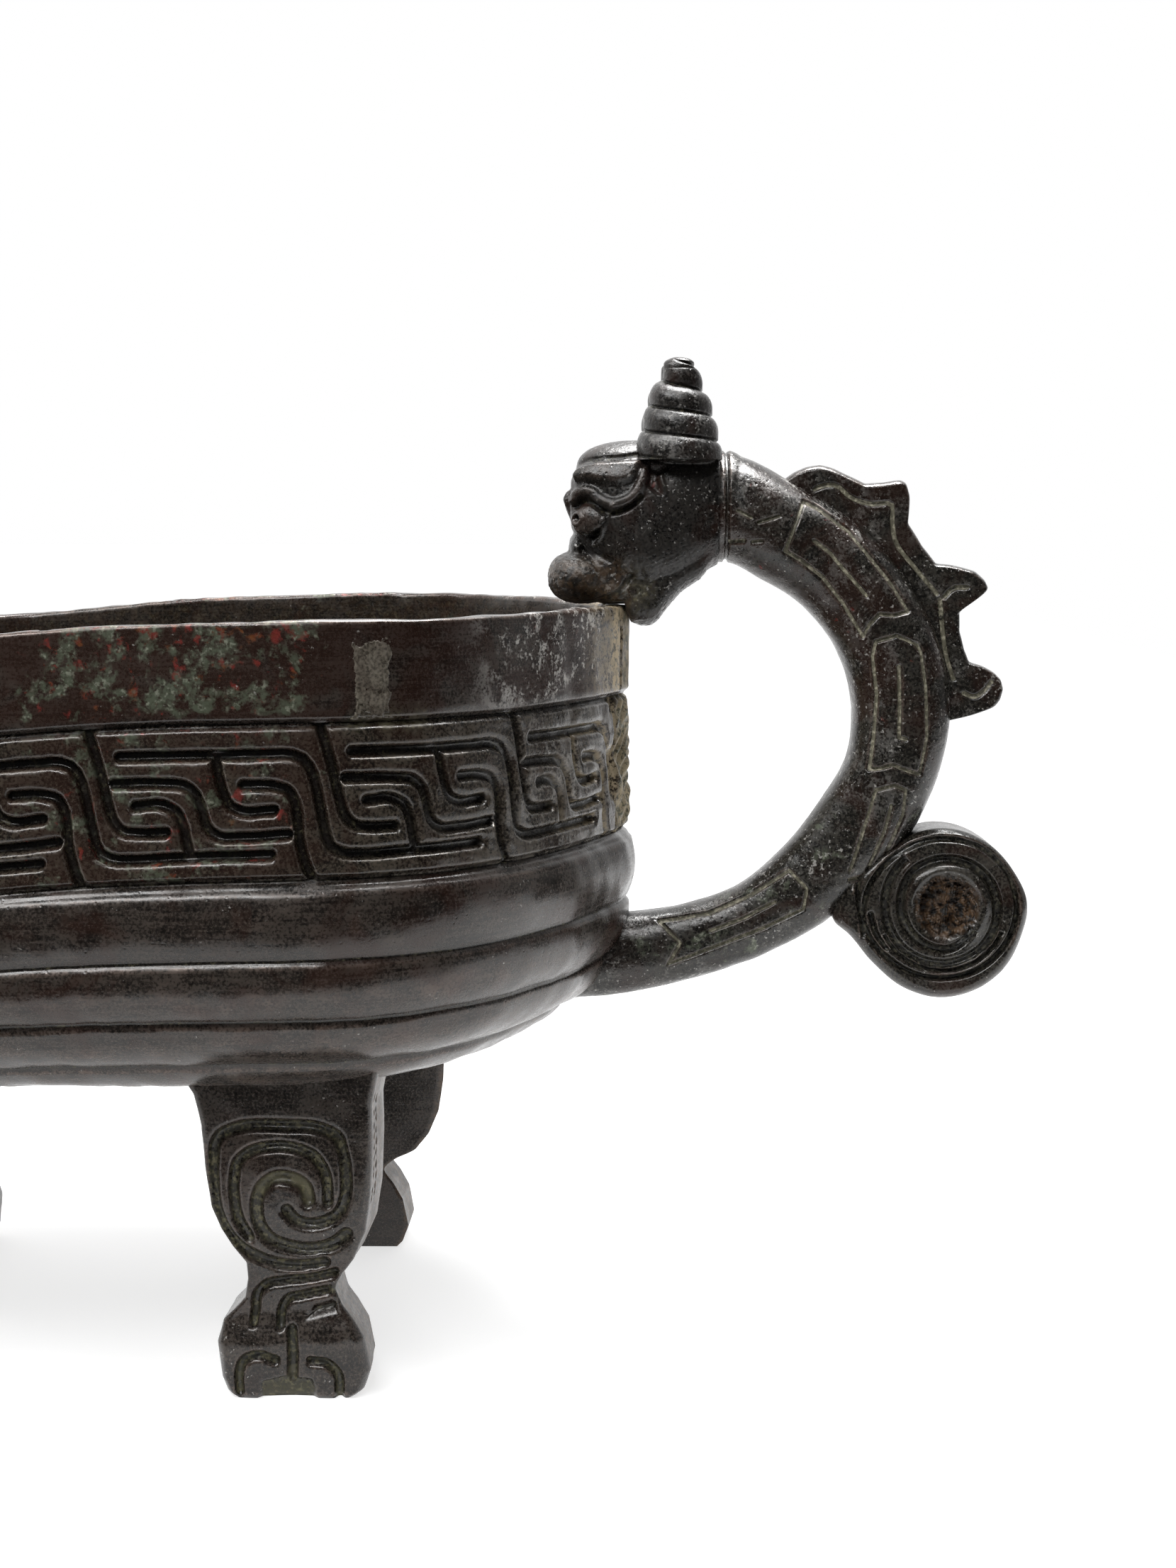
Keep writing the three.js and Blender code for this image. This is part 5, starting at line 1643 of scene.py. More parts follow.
@dataclass
class Crest:
    """The three-lobed fin on the dragon's back."""

    centre: tuple[float, float] = (20.0, 117.0)
    half_thickness: float = 2.3
    root: float = 29.0
    columns: int = 420
    rows: int = 64
    root_dust: Span = (36.5, 2.0, 40.5, 2.0)
    outline: Line = (
        (26.4, 158.6), (28.6, 160.6), (30.3, 161.8), (32.6, 162.8), (35.2, 163.2), (37.6, 162.6),
        (39.7, 161.6), (43.7, 159.7), (47.0, 159.9), (50.4, 160.4), (51.5, 159.8), (52.2, 157.4),
        (52.1, 154.7), (51.9, 152.3), (54.6, 148.1), (57.3, 144.7), (60.0, 144.5), (64.7, 143.3),
        (66.6, 141.6), (67.4, 139.9), (64.8, 137.8), (61.9, 135.9), (62.0, 132.0), (62.9, 128.6),
        (63.9, 126.1), (66.4, 125.4), (68.6, 124.2), (70.0, 122.8), (70.5, 121.0), (70.0, 119.0),
        (68.9, 117.6), (64.5, 116.0), (59.6, 114.9))
    rim_line: Line = (
        (34.1, 158.7), (36.0, 159.4), (38.1, 159.3), (40.8, 157.1), (44.5, 155.9), (48.5, 155.8),
        (48.7, 152.7), (49.3, 149.1), (53.0, 144.1), (57.3, 139.1))
    back_line: Line = ((57.9, 138.0), (58.5, 132.1), (59.4, 126.8), (60.7, 123.0))
    middle_curl: Line = ((58.7, 138.5), (60.4, 140.1), (63.0, 140.3))
    lower_curl: Line = ((62.7, 120.3), (64.6, 119.6), (66.7, 120.9), (67.9, 122.5))

    def build(self) -> bpy.types.Object:
        """Makes a rounded fin that stands on the body's back.

        Returns:
            The fin.
        """
        edge_line = np.array(self.outline)
        from_centre = edge_line - self.centre
        angle = np.unwrap(np.arctan2(from_centre[:, 1], from_centre[:, 0]))
        length = np.hypot(*from_centre.T)
        turn = np.linspace(angle[0], angle[-1], self.columns)
        reach = np.interp(turn, angle[::-1], length[::-1])
        kernel = np.array([1.0, 2.0, 3.0, 4.0, 3.0, 2.0, 1.0]) / 16.0
        reach = np.convolve(np.pad(reach, 3, mode="edge"), kernel, "valid")
        radius = blend(self.root, reach[:, None], np.linspace(0.0, 1.0, self.rows)[None, :])
        gone = np.clip(1.0 - (reach[:, None] - radius) / 1.1, 0.0, 1.0)
        thick = self.half_thickness * np.sqrt(np.maximum(1.0 - gone**2, 0.0))
        thick *= 1.0 + 0.25 * smooth((38.0 - radius) / 6.0)
        x = self.centre[0] + radius * np.cos(turn)[:, None]
        z = self.centre[1] + radius * np.sin(turn)[:, None]
        lines = (self.rim_line, self.back_line, self.middle_curl, self.lower_curl)
        cut = engraved(x, z, ((line, 1.1) for line in lines), 3)
        thick = thick - 0.6 * cut * smooth(thick / 1.5)
        near = np.stack([x, -thick, z], axis=2)
        far = np.stack([x, thick, z], axis=2)[:, ::-1]
        points = np.concatenate([near, far, near[:, :1]], axis=1)
        hollow, edge = wear(points, 3, 0.2)
        both, dust = (np.concatenate([part, part[:, ::-1], part[:, :1]], axis=1)
                      for part in (cut, window(radius, *self.root_dust)))
        marks = {Marks.HOLLOW: np.maximum(0.5 * hollow, both), Marks.EDGE: edge,
                 Marks.BLOOM: 0.1 + 0.5 * dust, Marks.RED: 0.2 * np.ones_like(edge)}
        return formed("handle_crest", points, marks)


@dataclass
class TailCoil:
    """The coiled tail: one long groove winds from the loop into an earthy centre."""

    centre: tuple[float, float] = (59.4, 80.2)
    half_thickness: float = 7.2
    round_edge: float = 2.0
    outer: Line = (
        (130.0, 14.8), (160.0, 17.8), (180.0, 20.8), (188.0, 21.3), (196.0, 19.3), (218.0, 17.6),
        (245.0, 17.7), (268.0, 17.9), (281.0, 17.7), (310.0, 16.9), (338.0, 15.8), (360.0, 15.7),
        (387.0, 14.5), (418.0, 14.3), (442.0, 14.6), (465.0, 14.9), (490.0, 14.8))
    edge_wind: Line = (
        (130.0, 19.5), (180.0, 16.4), (225.0, 14.6), (270.0, 13.7), (315.0, 13.4), (360.0, 13.3),
        (405.0, 12.9), (450.0, 12.9), (490.0, 13.6), (560.0, 16.5))
    inner_wind: Line = (
        (130.0, 12.0), (180.0, 11.6), (225.0, 11.5), (270.0, 11.0), (315.0, 10.4), (360.0, 9.6),
        (405.0, 9.2), (450.0, 9.0), (495.0, 9.2), (540.0, 8.6), (585.0, 8.3), (630.0, 8.1),
        (680.0, 6.6))
    thread: Line = ((205.0, 12.8), (240.0, 12.5), (270.0, 12.3), (300.0, 12.0), (335.0, 11.6))
    root_stroke: Line = ((45.1, 78.7), (46.2, 74.9), (48.1, 72.2))
    core: float = 6.1
    columns: int = 361
    rows: int = 84

    def profile(self, radius: Array, turn: Array) -> tuple[Array, Array]:
        """Shapes the coil's face.

        Args:
            radius: Distance from the coil's centre.
            turn: Angle in degrees, from 130 to 490.

        Returns:
            Height over a plain disc, and how deep the groove is from 0 to 1.
        """
        cut = np.zeros(np.broadcast(radius, turn).shape)
        for wind, width in ((self.edge_wind, 1.3), (self.inner_wind, 2.1), (self.thread, 1.0)):
            degrees, path = np.array(wind).T
            for winding in range(2):
                line = np.interp(turn + 360.0 * winding, degrees, path, left=-99.0, right=-99.0)
                cut = np.maximum(cut, channel(np.abs(radius - line), width))
        x = self.centre[0] + radius * np.cos(np.radians(turn))
        z = self.centre[1] + radius * np.sin(np.radians(turn))
        cut = np.maximum(cut, engraved(x, z, ((self.root_stroke, 1.3),), 3))
        dish = -1.7 * smooth((self.core - radius) / 2.0)
        lip = 0.8 * np.exp(-(((radius - self.core - 1.0) / 1.0) ** 2))
        return 0.6 * (1.0 - cut) + lip + dish - 0.6 * cut, cut

    def build(self) -> bpy.types.Object:
        """Makes the coil as one carved disc that runs into the loop.

        Returns:
            The coil.
        """
        turn = np.linspace(self.outer[0][0], self.outer[-1][0], self.columns)[None, :]
        reach = np.interp(turn, *curve_through(self.outer, self.columns).T)
        bend = np.linspace(0.0, math.pi / 2.0, 10)[1:]
        flat = np.linspace(0.0, 1.0, self.rows)[:, None] * (reach - self.round_edge)
        radius = np.concatenate([flat, reach - self.round_edge * (1.0 - np.sin(bend)[:, None])])
        tilt = np.concatenate([np.zeros(self.rows), bend])[:, None]
        fall = self.round_edge * (1.0 - np.cos(tilt))
        height, cut = self.profile(radius, turn)
        edge_in = smooth((reach - radius) / 1.6)
        face = self.half_thickness - fall + height * edge_in - 0.4
        cut = cut * edge_in
        x = self.centre[0] + radius * np.cos(np.radians(turn))
        z = self.centre[1] + radius * np.sin(np.radians(turn))
        near = np.stack([x, -face, z], axis=2)
        points = np.concatenate([near, np.stack([x, face, z], axis=2)[::-1]], axis=0)
        rough = smooth((self.core + 0.6 - radius) / 1.6)
        rough = np.concatenate([rough, rough[::-1]], axis=0)
        away = np.sign(points[:, :, 1])
        lumps = 0.6 * unevenness(points, 3.4, 51) + 0.3 * unevenness(points, 1.4, 52)
        points[:, :, 1] += away * (rough * lumps + 0.03 * unevenness(points, 6.0, 53))
        points[0], points[-1] = points[0].mean(0), points[-1].mean(0)
        points[:, -1] = points[:, 0]
        hollow, edge = wear(points, 3, 0.24)
        both = np.concatenate([cut, cut[::-1]], axis=0)
        marks = {Marks.HOLLOW: np.maximum(0.5 * hollow, both), Marks.EDGE: edge,
                 Marks.EARTH: 0.9 * rough, Marks.GREEN: 0.3 * both}
        return formed("handle_tail_coil", points, marks)


# Head


@dataclass
class DragonHead:
    """The head that bites the rim: boxy skull, muzzle roll, brows, eyes, ears and jaw."""

    bowl: Bowl
    voxel: float = 0.3
    skull: Stations = (
        (16.0, 144.6, 165.6, 9.6), (12.0, 142.8, 165.8, 10.8), (8.0, 141.0, 165.9, 11.8),
        (3.0, 139.8, 166.2, 12.3), (-2.0, 141.0, 166.2, 12.0), (-5.5, 143.5, 165.8, 11.2),
        (-8.5, 146.5, 164.6, 10.0), (-10.6, 149.5, 162.5, 8.4), (-11.6, 151.5, 160.5, 6.6))
    jaw: Stations = (
        (-1.4, 135.6, 146.0, 8.8), (-0.5, 133.9, 146.0, 9.2), (1.3, 133.2, 146.0, 9.3),
        (3.0, 133.0, 146.0, 9.3), (4.6, 134.0, 147.0, 9.4), (6.2, 136.3, 148.0, 9.4),
        (9.0, 139.5, 149.0, 9.4), (12.6, 141.9, 150.0, 9.2), (14.6, 144.4, 152.0, 8.8))
    nose_fin: Line = (
        (-13.3, 156.9), (-12.5, 158.2), (-11.0, 158.9), (-8.0, 158.4), (-7.0, 150.0),
        (-9.5, 148.4), (-11.2, 151.6), (-12.4, 154.4), (-13.3, 156.9))
    lumps: tuple[tuple[Point, Point, float], ...] = (
        ((-9.6, 0.0, 142.2), (6.4, 10.0, 5.0), 0.85),
        ((-2.2, 0.0, 142.6), (6.0, 9.3, 5.35), 0.45),
        ((9.4, 0.0, 164.6), (6.4, 12.9, 1.4), 0.7),
        ((1.5, 0.0, 162.4), (12.2, 9.6, 5.4), 0.85),
        ((-10.6, 0.0, 147.4), (1.5, 6.0, 3.0), 0.9))
    crown_groove: Line = (
        (-10.6, 162.7), (-10.0, 163.3), (-7.5, 164.1), (-2.5, 164.5), (2.4, 165.2))
    slab: Line = (
        (-12.2, 160.3), (-10.8, 162.5), (-9.6, 163.2), (-6.5, 163.8), (-2.5, 164.0), (2.1, 164.3),
        (1.8, 162.6), (1.2, 160.9), (0.0, 159.7), (-2.5, 158.9), (-6.0, 159.2), (-8.5, 159.7),
        (-10.7, 159.5))
    brow: Line = (
        (-11.0, 156.6), (-10.5, 157.5), (-9.2, 158.3), (-7.8, 158.1), (-6.3, 156.8), (-4.5, 156.0),
        (-2.5, 156.1), (-0.3, 157.2), (1.1, 159.1), (2.0, 161.5))
    brow_fold: Line = (
        (-10.9, 155.4), (-9.2, 156.5), (-7.6, 156.1), (-6.4, 154.9), (-4.6, 154.3), (-2.4, 154.6),
        (-0.1, 155.8), (1.3, 157.2))
    eye: tuple[float, float] = (-8.1, 152.7)
    eye_radius: float = 3.0
    pupil: tuple[float, float] = (-9.9, 153.3)
    eye_hollow: Line = (
        (-9.5, 151.3), (-7.9, 150.9), (-6.2, 151.8), (-5.3, 153.0), (-5.0, 154.4), (-4.3, 154.9),
        (-4.9, 152.4), (-6.1, 149.7), (-7.6, 149.0), (-9.0, 149.7))
    lid: Line = ((-3.6, 155.5), (-4.7, 154.2), (-5.3, 152.1), (-6.2, 149.9), (-7.3, 148.2))
    cheek_crease: Line = ((-7.8, 147.8), (-6.2, 146.4), (-4.2, 145.5))
    ear: Line = (
        (2.8, 163.8), (6.2, 163.0), (6.4, 162.2), (5.0, 160.9), (5.8, 157.0), (3.9, 157.6),
        (1.9, 159.2), (2.2, 162.2))
    ear_line: Line = ((4.9, 160.9), (5.4, 159.4), (5.9, 157.1))
    mouth: Line = ((-8.2, 137.5), (-4.8, 138.4), (-2.3, 140.1), (-0.6, 142.6))

    def lump(self, centre: Point, half: Point, power: float) -> Array:
        """Makes a rounded block.

        Args:
            centre: Its middle.
            half: Half its length, width and height.
            power: 1 for a ball, and toward 0 for a box.

        Returns:
            Its places, rows by columns by 3.
        """
        climb = np.linspace(-math.pi / 2.0, math.pi / 2.0, 33)[:, None]
        turn = np.linspace(0.0, 2.0 * math.pi, 65)[None, :]
        ring = squared(np.cos(climb), power)
        x = centre[0] + half[0] * ring * squared(np.cos(turn), power)
        y = centre[1] + half[1] * ring * squared(np.sin(turn), power)
        z = centre[2] + half[2] * squared(np.sin(climb), power) * np.ones_like(turn)
        points = np.stack([x, y, z], axis=2)
        points[:, -1] = points[:, 0]
        return points

    def rings(self, stations: Stations, power: float) -> Array:
        """Runs upright rings through stations.

        Args:
            stations: X, lowest and highest place and half width of each.
            power: 1 for round rings, and toward 0 for square ones.

        Returns:
            Places, rings by sides by 3.
        """
        line = np.array(stations)
        places = np.linspace(0.0, len(line) - 1.0, 60)
        line = np.stack([np.interp(places, np.arange(len(line)), line[:, k]) for k in range(4)], 1)
        turn = np.linspace(0.0, 2.0 * math.pi, 73)[None, :]
        side, rise = squared(np.cos(turn), power), squared(np.sin(turn), power)
        low, top = line[:, 1:2], line[:, 2:3]
        x = np.broadcast_to(line[:, :1], (len(line), turn.shape[1]))
        return np.stack([x, line[:, 3:4] * side, (low + top) / 2.0 + (top - low) / 2.0 * rise], 2)

    def fin(self, half_thickness: float) -> Array:
        """Makes the upright fin on the nose.

        Args:
            half_thickness: Half its width across the head.

        Returns:
            Places, slices by corners by 3.
        """
        edge = np.array(self.nose_fin)
        width = np.array((-1.0, -0.7, 0.7, 1.0))[:, None] * half_thickness
        shrink = np.array((0.75, 1.0, 1.0, 0.75))[:, None]
        middle = edge[:-1].mean(0)
        x = middle[0] + shrink * (edge[:, 0] - middle[0])
        z = middle[1] + shrink * (edge[:, 1] - middle[1])
        return np.stack([x, np.broadcast_to(width, x.shape), z], axis=2)

    def relief(self, x: Array, z: Array) -> tuple[Array, Array]:
        """Carves the cheeks.

        Args:
            x: Places along the head.
            z: Their heights.

        Returns:
            How far they stand out, and how hollow they are from 0 to 1.
        """

        def along(line: Line, width: float) -> Array:
            """How close each place lies to a drawn line."""
            return engraved(x, z, ((line, width),), 3)

        from_eye = np.hypot(x - self.eye[0], z - self.eye[1]) / self.eye_radius
        ball = np.sqrt(np.clip(1.0 - from_eye**2, 0.0, 1.0))
        from_pupil = np.hypot(x - self.pupil[0], z - self.pupil[1])
        pupil = channel(from_pupil, 1.3)
        brow, fold = along(self.brow, 2.1), along(self.brow_fold, 1.3)
        slab = inside_of(x, z, self.slab, 1.5)
        pit = inside_of(x, z, self.eye_hollow, 0.9)
        ear = inside_of(x, z, self.ear, 0.9)
        crown = along(self.crown_groove, 1.0)
        crease, mouth = along(self.cheek_crease, 1.5), along(self.mouth, 1.4)
        out = (0.9 * brow + 1.3 * slab + 0.6 * along(self.lid, 1.1)
               + 1.5 * ball + 0.4 * along(self.ear_line, 0.9)
               + 0.25 * channel(np.abs(from_pupil - 1.0), 0.7))
        deep = (0.9 * fold * (1.0 - ball) + 1.1 * pupil + 1.7 * pit + 1.5 * ear
                + 0.5 * crown + 0.45 * crease + 0.6 * mouth)
        hollow = fold * (1.0 - ball) + pupil + pit + 0.45 * ear + crown + 0.5 * crease + mouth
        return out - deep, np.clip(hollow, 0.0, 1.0)

    def build(self) -> bpy.types.Object:
        """Joins the blocks into one cast skin and carves it.

        Returns:
            The head.
        """
        blocks = [self.rings(self.skull, 0.62), self.rings(self.jaw, 0.6),
                  *(self.lump(*lump) for lump in self.lumps), self.fin(1.8)]
        joined = bmesh.new()
        for index, block in enumerate(blocks):
            part = formed(f"head_block_{index}", block, {})
            joined.from_mesh(part.data)
            bpy.data.objects.remove(part)
        mesh = bpy.data.meshes.new("head_blocks")
        joined.to_mesh(mesh)
        joined.free()
        rough = bpy.data.objects.new("head_blocks", mesh)
        bpy.context.scene.collection.objects.link(rough)
        cast = rough.modifiers.new("cast", "REMESH")
        cast.mode = "VOXEL"
        cast.voxel_size = self.voxel * MM
        bpy.context.view_layer.update()
        ready = rough.evaluated_get(bpy.context.evaluated_depsgraph_get())
        skin = bpy.data.meshes.new_from_object(ready)
        bpy.data.objects.remove(rough)
        skin.name = "dragon_head_cast"
        self.carve(skin)
        return piece_of("dragon_head_cast", skin)

    def carve(self, skin: bpy.types.Mesh) -> None:
        """Softens the cast skin, presses the face's lines into it and marks it.

        Args:
            skin: The cast skin, which is changed.
        """
        work = bmesh.new()
        work.from_mesh(skin)
        for _ in range(6):
            bmesh.ops.smooth_vert(work, verts=work.verts, factor=0.5, use_axis_x=True,
                                  use_axis_y=True, use_axis_z=True)
        work.to_mesh(skin)
        work.free()
        count = len(skin.vertices)
        places, normals = np.empty(3 * count, np.float32), np.empty(3 * count, np.float32)
        skin.vertices.foreach_get("co", places)
        skin.vertex_normals.foreach_get("vector", normals)
        places = places.reshape(-1, 3).astype(float) / MM - (REAR_RIM_X, 0.0, 0.0)
        normals = normals.reshape(-1, 3).astype(float)
        out, hollow = self.relief(places[:, 0], places[:, 2])
        sideways = smooth((np.abs(normals[:, 1]) - 0.2) / 0.35)
        muzzle = smooth((149.0 - places[:, 2]) / 4.0)
        swell = 0.03 * unevenness(places, 5.0, 61) + 0.022 * unevenness(places, 1.4, 62)
        swell += muzzle * (0.05 * unevenness(places, 1.9, 63) + 0.03 * unevenness(places, 1.1, 64))
        places += normals * (out * sideways + swell)[:, None]
        aside = np.abs(places[:, 1]) / self.bowl.half_width
        rim_end = self.bowl.rear * (1.0 - aside**1.11) ** 0.333 - self.bowl.rear + 0.4
        biting = (places[:, 2] < 138.4) & (places[:, 0] > -4.0)
        places[:, 0] = np.where(biting, np.maximum(places[:, 0], rim_end), places[:, 0])
        skin.vertices.foreach_set("co", in_frame(places))
        snout = smooth((147.0 - places[:, 2]) / 3.0) * smooth((1.0 - places[:, 0]) / 4.0)
        # The ledge under the horns is lightened through the edge mark: partly wear, partly a
        # painted highlight
        ledge = smooth((places[:, 2] - 163.0) / 0.6) * smooth((np.abs(normals[:, 1]) - 0.2) / 0.5)
        corner = np.exp(-(np.hypot(places[:, 0] - 0.5, places[:, 2] - 140.0) / 3.2) ** 2)
        ruddy = sideways * inside_of(places[:, 0], places[:, 2], self.ear, 0.9)
        mark_up(skin, {
            Marks.OLIVE: 0.6 * corner, Marks.RED: ruddy, Marks.HOLLOW: hollow * sideways,
            Marks.EDGE: np.clip(out, 0.0, 1.0) * sideways * 0.5 + 0.3 * ledge,
            Marks.EARTH: 0.25 * snout, Marks.BLOOM: 0.3 * snout,
            Marks.GREEN: hollow * sideways * smooth((146.0 - places[:, 2]) / 4.0)})
        skin.update()


@dataclass
class Horn:
    """A horn wound in domed tiers that step inward toward its tip."""

    node: str
    side: Side
    x: float = 8.4
    spread: float = 7.5
    base: float = 164.0
    tip: float = 182.75
    pitch: float = 4.55
    start: float = 0.674
    tuck: float = 0.5
    cap: float = 2.2
    rows: int = 260
    columns: int = 129
    girth: Line = (
        (163.0, 8.4), (167.8, 7.65), (172.3, 6.55), (176.7, 5.35), (180.6, 3.0), (185.0, 2.6))

    def build(self) -> bpy.types.Object:
        """Winds the horn and closes its tip.

        Returns:
            The horn.
        """
        height = np.linspace(self.base, self.tip, self.rows)[:, None]
        turn = np.linspace(0.0, 2.0 * math.pi, self.columns)[None, :]
        climb = (height - self.base) / self.pitch + turn / (2.0 * math.pi) - self.start
        tier = climb - np.floor(climb)
        middle = height + (0.5 - tier) * self.pitch
        heights, radii = np.array(self.girth).T
        outer = np.interp(middle, heights, radii)
        inner = np.interp(middle + self.pitch, heights, radii) - self.tuck
        shoulder = np.clip((tier - 0.3) / 0.7, 0.0, 1.0)
        radius = inner + (outer - inner) * np.sqrt(np.maximum(1.0 - shoulder**2.4, 0.0))
        crease = 1.0 - smooth(tier / 0.14)
        radius = radius - self.tuck * crease
        cap = np.sqrt(1.0 - np.clip(1.0 - (self.tip - height) / self.cap, 0.0, 1.0) ** 3)
        capped = np.minimum(radius, 0.02 + 3.0 * cap)
        radius = np.where(height > self.tip - self.cap, capped, radius)
        x = self.x + radius * np.cos(turn)
        y = self.side.value * self.spread + radius * np.sin(turn)
        z = height * np.ones_like(turn)
        points = np.stack([x, y, z], axis=2)
        points = points + 0.03 * unevenness(points, 3.0, 71)[:, :, None] * outward(points)
        points[:, -1] = points[:, 0]
        points[0, :, 2] = self.base
        hollow, edge = wear(points, 4, 0.18)
        # Painted shade: dark lines in the creases between the tiers
        line = np.maximum(crease, smooth((tier - 0.9) / 0.1)) * smooth((181.5 - height) / 1.0)
        marks = {Marks.HOLLOW: np.maximum(hollow * 0.5, 0.8 * line), Marks.EDGE: edge,
                 Marks.BLOOM: 0.2 * np.ones_like(edge)}
        return formed(f"{self.node}_wound", points, marks)


# Studio


@dataclass(frozen=True)
class SoftBox:
    """A lamp: where it hangs and what it shines on, its size in metres and its watts."""

    name: str
    place: Point
    aim: Point
    size: tuple[float, float]
    power: float
    gloss_only: bool = False

    def hang(self) -> None:
        """Puts the lamp into the scene."""
        light = bpy.data.lights.new(self.name, "AREA")
        light.shape = "RECTANGLE"
        light.size, light.size_y = self.size
        light.energy = self.power
        lamp = bpy.data.objects.new(self.name, light)
        lamp.location = self.place
        away = np.array(self.place) - np.array(self.aim)
        tilt = math.atan2(math.hypot(away[0], away[1]), away[2])
        turn = math.atan2(away[1], away[0]) + math.pi / 2.0
        lamp.rotation_euler = (tilt, 0.0, turn)
        lamp.visible_diffuse = not self.gloss_only
        bpy.context.scene.collection.objects.link(lamp)


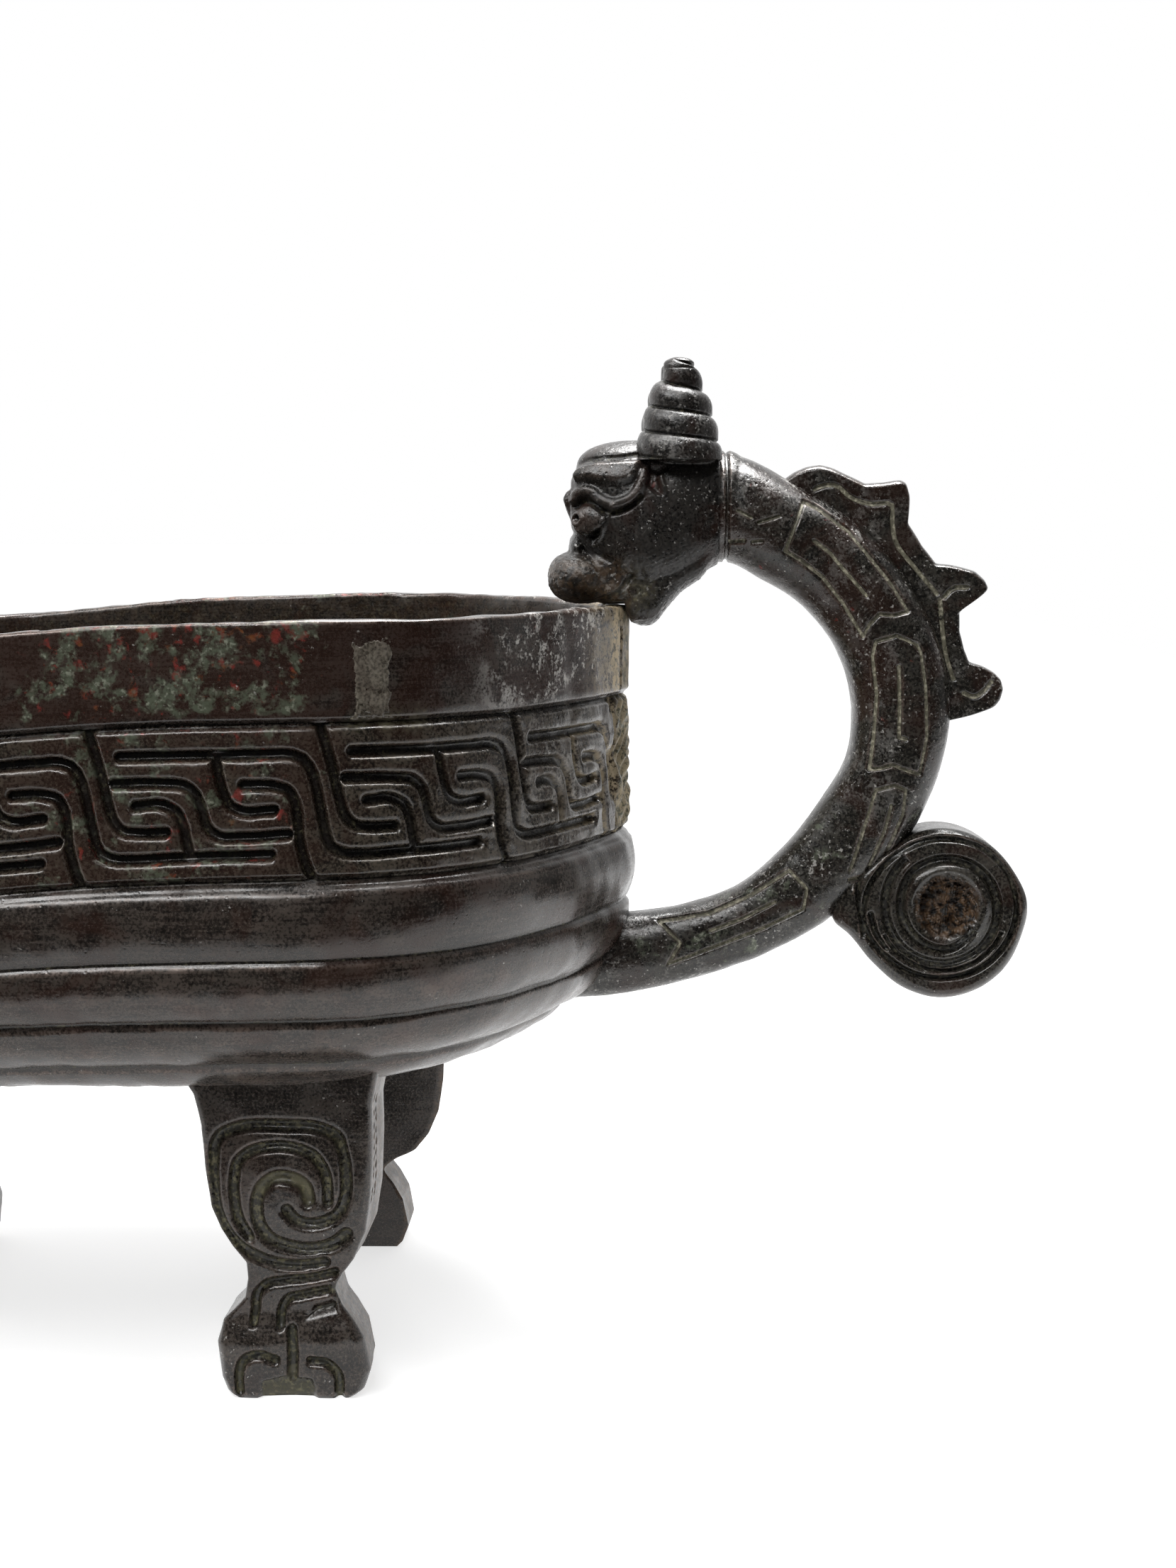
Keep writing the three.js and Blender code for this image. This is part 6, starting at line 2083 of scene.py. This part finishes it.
@dataclass
class Studio:
    """White paper, soft light from above and behind, and the photograph's viewpoint."""

    eye: Point = (0.0811, -0.4446, 0.154)
    look_down: float = 6.58
    turn: float = 0.35
    lens: float = 53.71
    sensor: float = 36.0
    front_light: float = 0.05
    back_light: float = 1.2
    right_light: float = 0.3
    front_ramp: tuple[float, float] = (-0.35, 0.45)
    right_ramp: tuple[float, float] = (0.4, 0.75)
    paper: float = 6.0
    paper_front: float = 0.155
    paper_right: float = 0.7
    boxes: tuple[SoftBox, ...] = (
        SoftBox("front_box", (-0.35, -0.48, 0.83), (0.03, 0.0, 0.1), (1.2, 0.2), 12.0),
        SoftBox("top_box", (0.22, 0.2, 0.95), (0.06, 0.0, 0.12), (0.26, 0.26), 5.5),
        SoftBox("sheen_panel", (0.2, 0.12, 0.9), (0.1, 0.0, 0.14), (0.6, 0.5), 24.0, True))

    def camera(self) -> None:
        """Sets the camera where the photographer stood."""
        view = bpy.data.cameras.new("photographer")
        view.sensor_fit = "VERTICAL"
        view.sensor_height = self.sensor
        view.sensor_width = self.sensor
        view.lens = self.lens
        view.clip_start = 0.01
        eye = bpy.data.objects.new("photographer", view)
        eye.location = self.eye
        eye.rotation_euler = (math.radians(90.0 - self.look_down), 0.0, math.radians(self.turn))
        bpy.context.scene.collection.objects.link(eye)
        bpy.context.scene.camera = eye

    def floor(self) -> None:
        """Lays the paper, which ends a little in front of the vessel."""
        work = bmesh.new()
        bmesh.ops.create_grid(work, x_segments=8, y_segments=8, size=self.paper)
        middle = (self.paper_right - self.paper, self.paper - self.paper_front, 0.0)
        bmesh.ops.translate(work, verts=work.verts, vec=middle)
        mesh = bpy.data.meshes.new("studio_floor")
        work.to_mesh(mesh)
        work.free()
        floor = bpy.data.objects.new("studio_floor", mesh)
        bpy.context.scene.collection.objects.link(floor)
        mesh.materials.append(StudioFloor().material())

    def surroundings(self) -> None:
        """Makes a white room that is dimmer in front of the vessel and to its right."""
        world = bpy.data.worlds.new("studio_room")
        world.use_nodes = True
        bpy.context.scene.world = world
        tree = world.node_tree
        tree.nodes.clear()
        make = tree.nodes.new
        way, split = make("ShaderNodeTexCoord"), make("ShaderNodeSeparateXYZ")
        depth, aside = make("ShaderNodeMapRange"), make("ShaderNodeMapRange")
        for node, numbers in ((depth, (*self.front_ramp, self.front_light, self.back_light)),
                              (aside, (*self.right_ramp, 1.0, self.right_light))):
            node.interpolation_type = "SMOOTHSTEP"
            for name, number in zip(("From Min", "From Max", "To Min", "To Max"), numbers):
                node.inputs[name].default_value = number
        both = make("ShaderNodeMath")
        both.operation = "MULTIPLY"
        room, backdrop = make("ShaderNodeBackground"), make("ShaderNodeBackground")
        for paper in (room, backdrop):
            paper.inputs["Color"].default_value = (1.0, 1.0, 1.0, 1.0)
        backdrop.inputs["Strength"].default_value = 1.0
        path, choose = make("ShaderNodeLightPath"), make("ShaderNodeMixShader")
        out = make("ShaderNodeOutputWorld")
        for start, end in ((way.outputs["Generated"], split.inputs[0]),
                           (split.outputs["Y"], depth.inputs["Value"]),
                           (split.outputs["X"], aside.inputs["Value"]),
                           (depth.outputs["Result"], both.inputs[0]),
                           (aside.outputs["Result"], both.inputs[1]),
                           (both.outputs[0], room.inputs["Strength"]),
                           (path.outputs["Is Camera Ray"], choose.inputs[0]),
                           (room.outputs[0], choose.inputs[1]),
                           (backdrop.outputs[0], choose.inputs[2]),
                           (choose.outputs[0], out.inputs["Surface"])):
            tree.links.new(start, end)

    def build(self) -> None:
        """Sets up the whole studio."""
        self.camera()
        self.floor()
        self.surroundings()
        for box in self.boxes:
            box.hang()
        bpy.context.scene.view_settings.view_transform = "Standard"


@dataclass
class Vessel:
    """The whole yi, put together from its castings."""

    bowl: Bowl = field(default_factory=Bowl)

    def legs(self) -> list[Leg]:
        """Lists the legs; the front pair is turned to face the spout.

        Returns:
            The four legs.
        """
        return [
            Leg(self.bowl, "leg_rear_near", -58.7, 42.5, Side.NEAR),
            Leg(self.bowl, "leg_rear_far", -58.7, 42.5, Side.FAR, haunch=6.0),
            Leg(self.bowl, "leg_front_near", -148.6, 37.0, Side.NEAR, -1),
            Leg(self.bowl, "leg_front_far", -148.6, 37.0, Side.FAR, -1),
        ]

    def build(self) -> None:
        """Makes and dresses every piece."""
        dress(self.bowl.build_wall(), BOWL_FINISH, "bowl")
        frieze = Frieze(self.bowl)
        for stretch in Stretch:
            for strip in frieze.build(stretch):
                dress(strip, FRIEZE_FINISH, "bowl")
        dress(Spacer(self.bowl).build(), SPACER_FINISH, "rim_spacer")
        for leg in self.legs():
            dress(leg.build(), LEG_FINISH, leg.node)
        for length in DragonBody(self.bowl).build():
            dress(length, HANDLE_FINISH, "handle")
        dress(Crest().build(), HANDLE_FINISH, "handle")
        dress(TailCoil().build(), TAIL_FINISH, "handle")
        dress(DragonHead(self.bowl).build(), HEAD_FINISH, "dragon_head")
        for horn in (Horn("horn_near", Side.NEAR), Horn("horn_far", Side.FAR)):
            dress(horn.build(), HEAD_FINISH, horn.node)


def main() -> None:
    """Loads the frame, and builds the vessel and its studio."""
    logging.basicConfig(level=logging.INFO, format="%(name)s %(message)s")
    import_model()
    Studio().build()
    Vessel().build()


if __name__ == "__main__":
    main()
